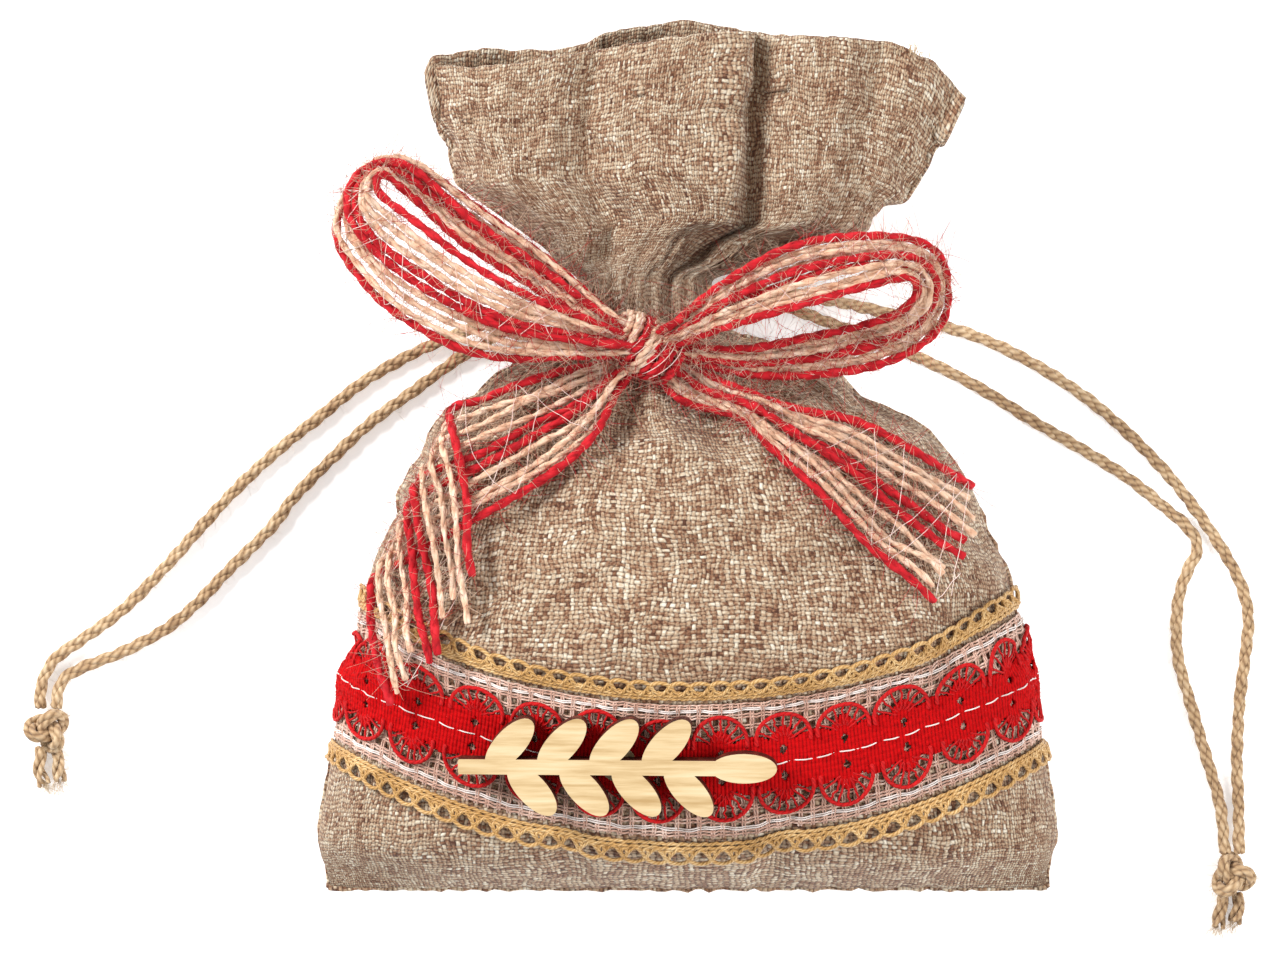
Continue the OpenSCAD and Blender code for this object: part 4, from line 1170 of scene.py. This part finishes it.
def loop_strip(stations):
    """A loop of ribbon between its two edges, as points[place along, place across]."""
    table = stations_to_strip(np.reshape(stations, (-1, 6)))
    q = np.linspace(0, 1, 10)[None, :, None]
    strip = table[:, None, :3] * (1 - q) + table[:, None, 3:] * q
    strip[..., 2] += BOW[2]
    return strip


def tail_strip(stations):
    """A tail of ribbon lying on the cloth and over the band."""
    table = stations_to_strip(stations)
    q = np.linspace(0, 1, 10)[None, :, None]
    flat = BOW[:2] + table[:, None, 0:2] * (1 - q) + table[:, None, 2:4] * q
    z = rest_on_cloth(flat[..., 0], flat[..., 1]) + np.maximum(table[:, 4:5], 0.9)
    s = np.clip(np.abs(flat[..., 0]) / 50.0, 0, 1)
    over_band = ease((BOTTOM_Y + BAND_Y + BAND_RISE * s ** 2 + 13.5 - flat[..., 1]) / 2.5)
    root = np.clip(1 - np.arange(len(table)) / 12.0, 0, 1)[:, None]
    z = z + 0.9 * over_band
    return np.concatenate([flat, (z * (1 - root) + (BOW[2] - 0.6) * root)[..., None]], axis=-1)


def wander(rng, count, size, step=9):
    """A slow random walk around zero."""
    knots = rng.normal(size=count // step + 3) * size
    return np.interp(np.arange(count) / step, np.arange(len(knots)), knots)


def ribbon_piece(name, strip, seed, length, cut=0):
    """Yarns, binding threads and stray fibres along a strip."""
    rng = np.random.default_rng(seed)
    batch, fluff = Batch(), Batch()
    rows = len(strip)
    side = unit(np.gradient(strip, axis=1))
    out = unit(np.cross(unit(np.gradient(strip, axis=0)), side))
    out = out * np.sign(out[rows // 6, 5, 2])
    spread = np.linalg.norm(strip[:, -1] - strip[:, 0], axis=-1)
    room = np.clip(spread / RIBBON_W, 0.25, 1)
    woven = np.zeros_like(strip)
    for k, slot in enumerate(YARN_SLOTS):
        path = (strip[:, k] + side[:, k] * (wander(rng, rows, 0.32) * room)[:, None]
                + out[:, k] * (wander(rng, rows, 0.3) + (1 - room) * rng.uniform(-1.4, 1.6))[:, None])
        woven[:, k] = path
        if cut:
            path = path[:rows - rng.integers(0, cut + 1)]
        fine = resampled(path, YARN_STEP)
        thick = YARN_D / 2 * (1 + wander(rng, len(fine), 0.09, 4)) * (0.8 if slot else 1.2)
        for ply in (0, 1):
            lay = carried_frames(fine)
            turn = 2 * np.pi * (np.arange(len(fine)) * YARN_STEP / 6.0 + ply / 2) + k
            line = fine + 0.17 * YARN_D * (lay[1] * np.cos(turn)[:, None] + lay[2] * np.sin(turn)[:, None])
            batch.tube(line, thick * 0.72, 7, slot)
        count = int(len(fine) * HAIRS_PER_STEP)
        pick = rng.integers(2, len(fine) - 2, count)
        heading = unit(np.gradient(fine, axis=0))[pick]
        turn = unit(rng.normal(size=(count, 3)))
        turn = unit(turn - heading * (turn * heading).sum(-1, keepdims=True))
        turn[:, 2] = np.abs(turn[:, 2])
        outward = unit(turn * 0.8 + heading * rng.choice([-1, 1], (count, 1)))
        hairs(fluff, fine[pick] + turn * YARN_D * 0.45, outward, HAIR_LENGTH, rng, slot, HAIR_R, 0.7)
    zig = np.arange(0, rows - 1.2, 0.32 * rows / length)
    for shift in (0.0, 0.5):
        across = np.abs(((zig * length / rows / 5.2 + shift) % 2) - 1) * 9
        points = read_grid(woven, zig, across) + 0.66 * read_grid(out, zig, across)
        fluff.tube(points, 0.055, 4, 2)
    yarns = batch.make(name + "_yarns", BOW_MATERIALS)
    fibres = fluff.make(name + "_fibres", BOW_MATERIALS)
    for piece in (yarns, fibres):
        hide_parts(name)
        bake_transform(piece)


def strip_length(strip):
    """Length along the middle of a strip."""
    middle = strip[:, 4:6].mean(axis=1)
    return float(np.linalg.norm(np.diff(middle, axis=0), axis=1).sum())


# %% Make loops and tails
left_strip, right_strip = loop_strip(LEFT_LOOP), loop_strip(RIGHT_LOOP)
left_tail_strip, right_tail_strip = tail_strip(LEFT_TAIL), tail_strip(RIGHT_TAIL)
BLEND_START, BLEND_END = 4.5, 13
for name, strip, heading, seed, cut in (
        ("left_bow_loop", left_strip, [-0.91, 0.41], 61, 0),
        ("right_bow_loop", right_strip, [0.985, 0.17], 62, 0),
        ("left_bow_tail", left_tail_strip, [-0.83, -0.56], 63, 6),
        ("right_bow_tail", right_tail_strip, [0.85, -0.53], 64, 5)):
    near, far = (np.append(BOW[:2] + np.array(heading) * reach, BOW[2])
                 for reach in (BLEND_START, BLEND_END))
    ribbon_piece(name, strip, seed, strip_length(strip), cut)
    print(name, round(strip_length(strip)), "mm of ribbon")

# %% [markdown]
# ### The knot of the bow
# A wrap of the same yarns goes once round the middle, on the slant. Its twelve yarns lie close
# together, and each is a closed ring whose size follows a barrel.

# %% Knot of the bow
WRAP = unit(np.array([0.55, 0.84, 0]))
OVER = unit(np.array([0.84, -0.55, 0]))
UP = np.array([0, 0, 1.0])
knot_yarns = Batch()
rng = np.random.default_rng(70)
WRAP_SLOTS = [1, 1, 1, 0, 0, 1, 1, 0, 0, 1, 0, 0]
for k, slot in enumerate(WRAP_SLOTS):
    place = (k - 5.5) * 0.72
    tall = 3.9 * math.sqrt(1 - (place / 6.2) ** 2) - 0.5
    wide = 4.1 * math.sqrt(1 - (place / 6.6) ** 2) - 0.4
    angle = np.linspace(0, 2 * np.pi, 40)
    lean = 0.9 * np.sin(angle + rng.uniform(-0.5, 0.5)) + rng.normal() * 0.2
    ring = (BOW + OVER * (place + lean)[:, None] + WRAP * (wide * np.cos(angle))[:, None]
            + UP * ((tall + 0.25 * rng.normal()) * np.sin(angle))[:, None])
    lay = carried_frames(ring)
    for ply in (0, 1):
        turn = 2 * np.pi * (np.arange(40) / 6.5 + ply / 2)
        line = ring + 0.24 * YARN_D * (lay[1] * np.cos(turn)[:, None] + lay[2] * np.sin(turn)[:, None])
        knot_yarns.tube(line, YARN_D * (0.3 if slot else 0.35), 6, slot)
    pick = rng.integers(2, 20, 16)
    hairs(knot_yarns, ring[pick], unit(ring[pick] - BOW + rng.normal(size=(16, 3))), 3.8, rng, slot, 0.034)
for k in range(7):
    angle = np.linspace(0.3, 2.6, 12)
    place = -3.5 + 1.1 * k
    slant = place + 1.4 * np.sin(angle * 1.3)
    band = (BOW + OVER * slant[:, None] + WRAP * (3.9 * np.cos(angle))[:, None]
            + UP * (4.0 * np.sin(angle))[:, None])
    knot_yarns.tube(band, 0.055, 4, 2)
knot_piece = knot_yarns.make("bow_knot_wrap", BOW_MATERIALS)
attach(knot_piece, "pouch")
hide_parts("bow_knot")

# %% [markdown]
# ## The wooden sprig
# The ornament is cut from pale plywood by a laser, which burns the cut walls dark brown and leaves
# the face clean. The measured piece has the right shape, so it keeps its mesh and gets a material:
# faces that look up are pale wood with fine grain, and walls are scorched. The drops of hot glue
# under it and under the bow keep their meshes too.

# %% Sprig and glue
maple, maple_tree, maple_shader = new_material("laser_cut_maple", 0.55, 1.5, 0.0, 0.35)
outward = add(maple_tree, "ShaderNodeNewGeometry").outputs["Normal"]
turned = add(maple_tree, "ShaderNodeSeparateXYZ", i0=outward).outputs[2]
is_face = add(maple_tree, "ShaderNodeMapRange", Value=turned, From_Min=0.93, From_Max=0.985).outputs[0]
place = add(maple_tree, "ShaderNodeTexCoord").outputs["Object"]
stretched = add(maple_tree, "ShaderNodeMapping", i0=place, Scale=(60.0, 900.0, 300.0)).outputs[0]
grain = add(maple_tree, "ShaderNodeTexNoise", Vector=stretched, Scale=1.0, Detail=5.0,
            Roughness=0.6).outputs["Fac"]
soot = add(maple_tree, "ShaderNodeTexNoise", Vector=place, Scale=700.0, Detail=3.0).outputs["Fac"]
wood = ramp(maple_tree, grain, [(0.3, "#b29262"), (0.5, "#d0b68a"), (0.7, "#dfcaa4")])
burnt = ramp(maple_tree, soot, [(0.3, "#2a1009"), (0.55, "#552015"), (0.75, "#7d3a26")])
maple_tree.links.new(blend_colours(maple_tree, is_face, burnt, wood), maple_shader.inputs["Base Color"])
bump(maple_tree, maple_shader, grain, 0.04)
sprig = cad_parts["wooden_sprig"]
for slot in sprig.material_slots:
    slot.material = maple

glue, glue_tree, glue_shader = new_material("clear_hot_glue", 0.25, 1.48, 0.0, 0.5)
glue_shader.inputs["Transmission Weight"].default_value = 0.3
cloudy = add(glue_tree, "ShaderNodeTexNoise", Vector=add(glue_tree, "ShaderNodeTexCoord").outputs["Object"],
             Scale=500.0, Detail=2.0).outputs["Fac"]
amber = ramp(glue_tree, cloudy, [(0.3, "#b89c6c"), (0.7, "#d8c394")])
glue_tree.links.new(amber, glue_shader.inputs["Base Color"])
for node in ("sprig_glue", "bow_glue"):
    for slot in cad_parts[node].material_slots:
        slot.material = glue
print("wood and glue are finished")

# %% [markdown]
# ## Floor and light
# The pouch is shown as catalogue pictures show such things, on white under broad soft light. A
# lamp above and to one side shapes the folds. A larger, weaker lamp on the other side and the
# white world fill the shadows.

# %% Studio
def soft_lamp(name, place, size, watts):
    """A square area light that faces the pouch."""
    lamp = bpy.data.lights.new(name, "AREA")
    lamp.shape = "SQUARE"
    lamp.size, lamp.energy = size, watts
    piece = bpy.data.objects.new(name, lamp)
    bpy.context.scene.collection.objects.link(piece)
    piece.location = place
    away = np.array(place) - [0, 0, 0.01]
    piece.rotation_euler = (math.atan2(math.hypot(away[0], away[1]), away[2]), 0,
                            math.atan2(away[1], away[0]) + math.pi / 2)


floor_material, _, floor_shader = new_material("white_table", 0.9, 1.45, 0.0, 0.1)
floor_shader.inputs["Base Color"].default_value = (0.9, 0.9, 0.9, 1)
floor_shader.inputs["Emission Color"].default_value = (1, 1, 1, 1)
floor_shader.inputs["Emission Strength"].default_value = 0.4
bpy.ops.mesh.primitive_plane_add(size=3, location=(0, 0, 0))
floor = bpy.context.object
floor.name = "white_floor"
floor.data.materials.append(floor_material)
soft_lamp("key_lamp", (-0.7, 0.45, 0.55), 0.3, 13.0)
soft_lamp("fill_lamp", (0.65, -0.15, 0.6), 0.5, 6.5)
world = bpy.data.worlds.new("studio")
world.use_nodes = True
world.node_tree.nodes["Background"].inputs[0].default_value = (1, 1, 1, 1)
world.node_tree.nodes["Background"].inputs[1].default_value = 0.5
bpy.context.scene.world = world
bpy.context.scene.view_settings.view_transform = "Standard"
print("two lamps and a white world")
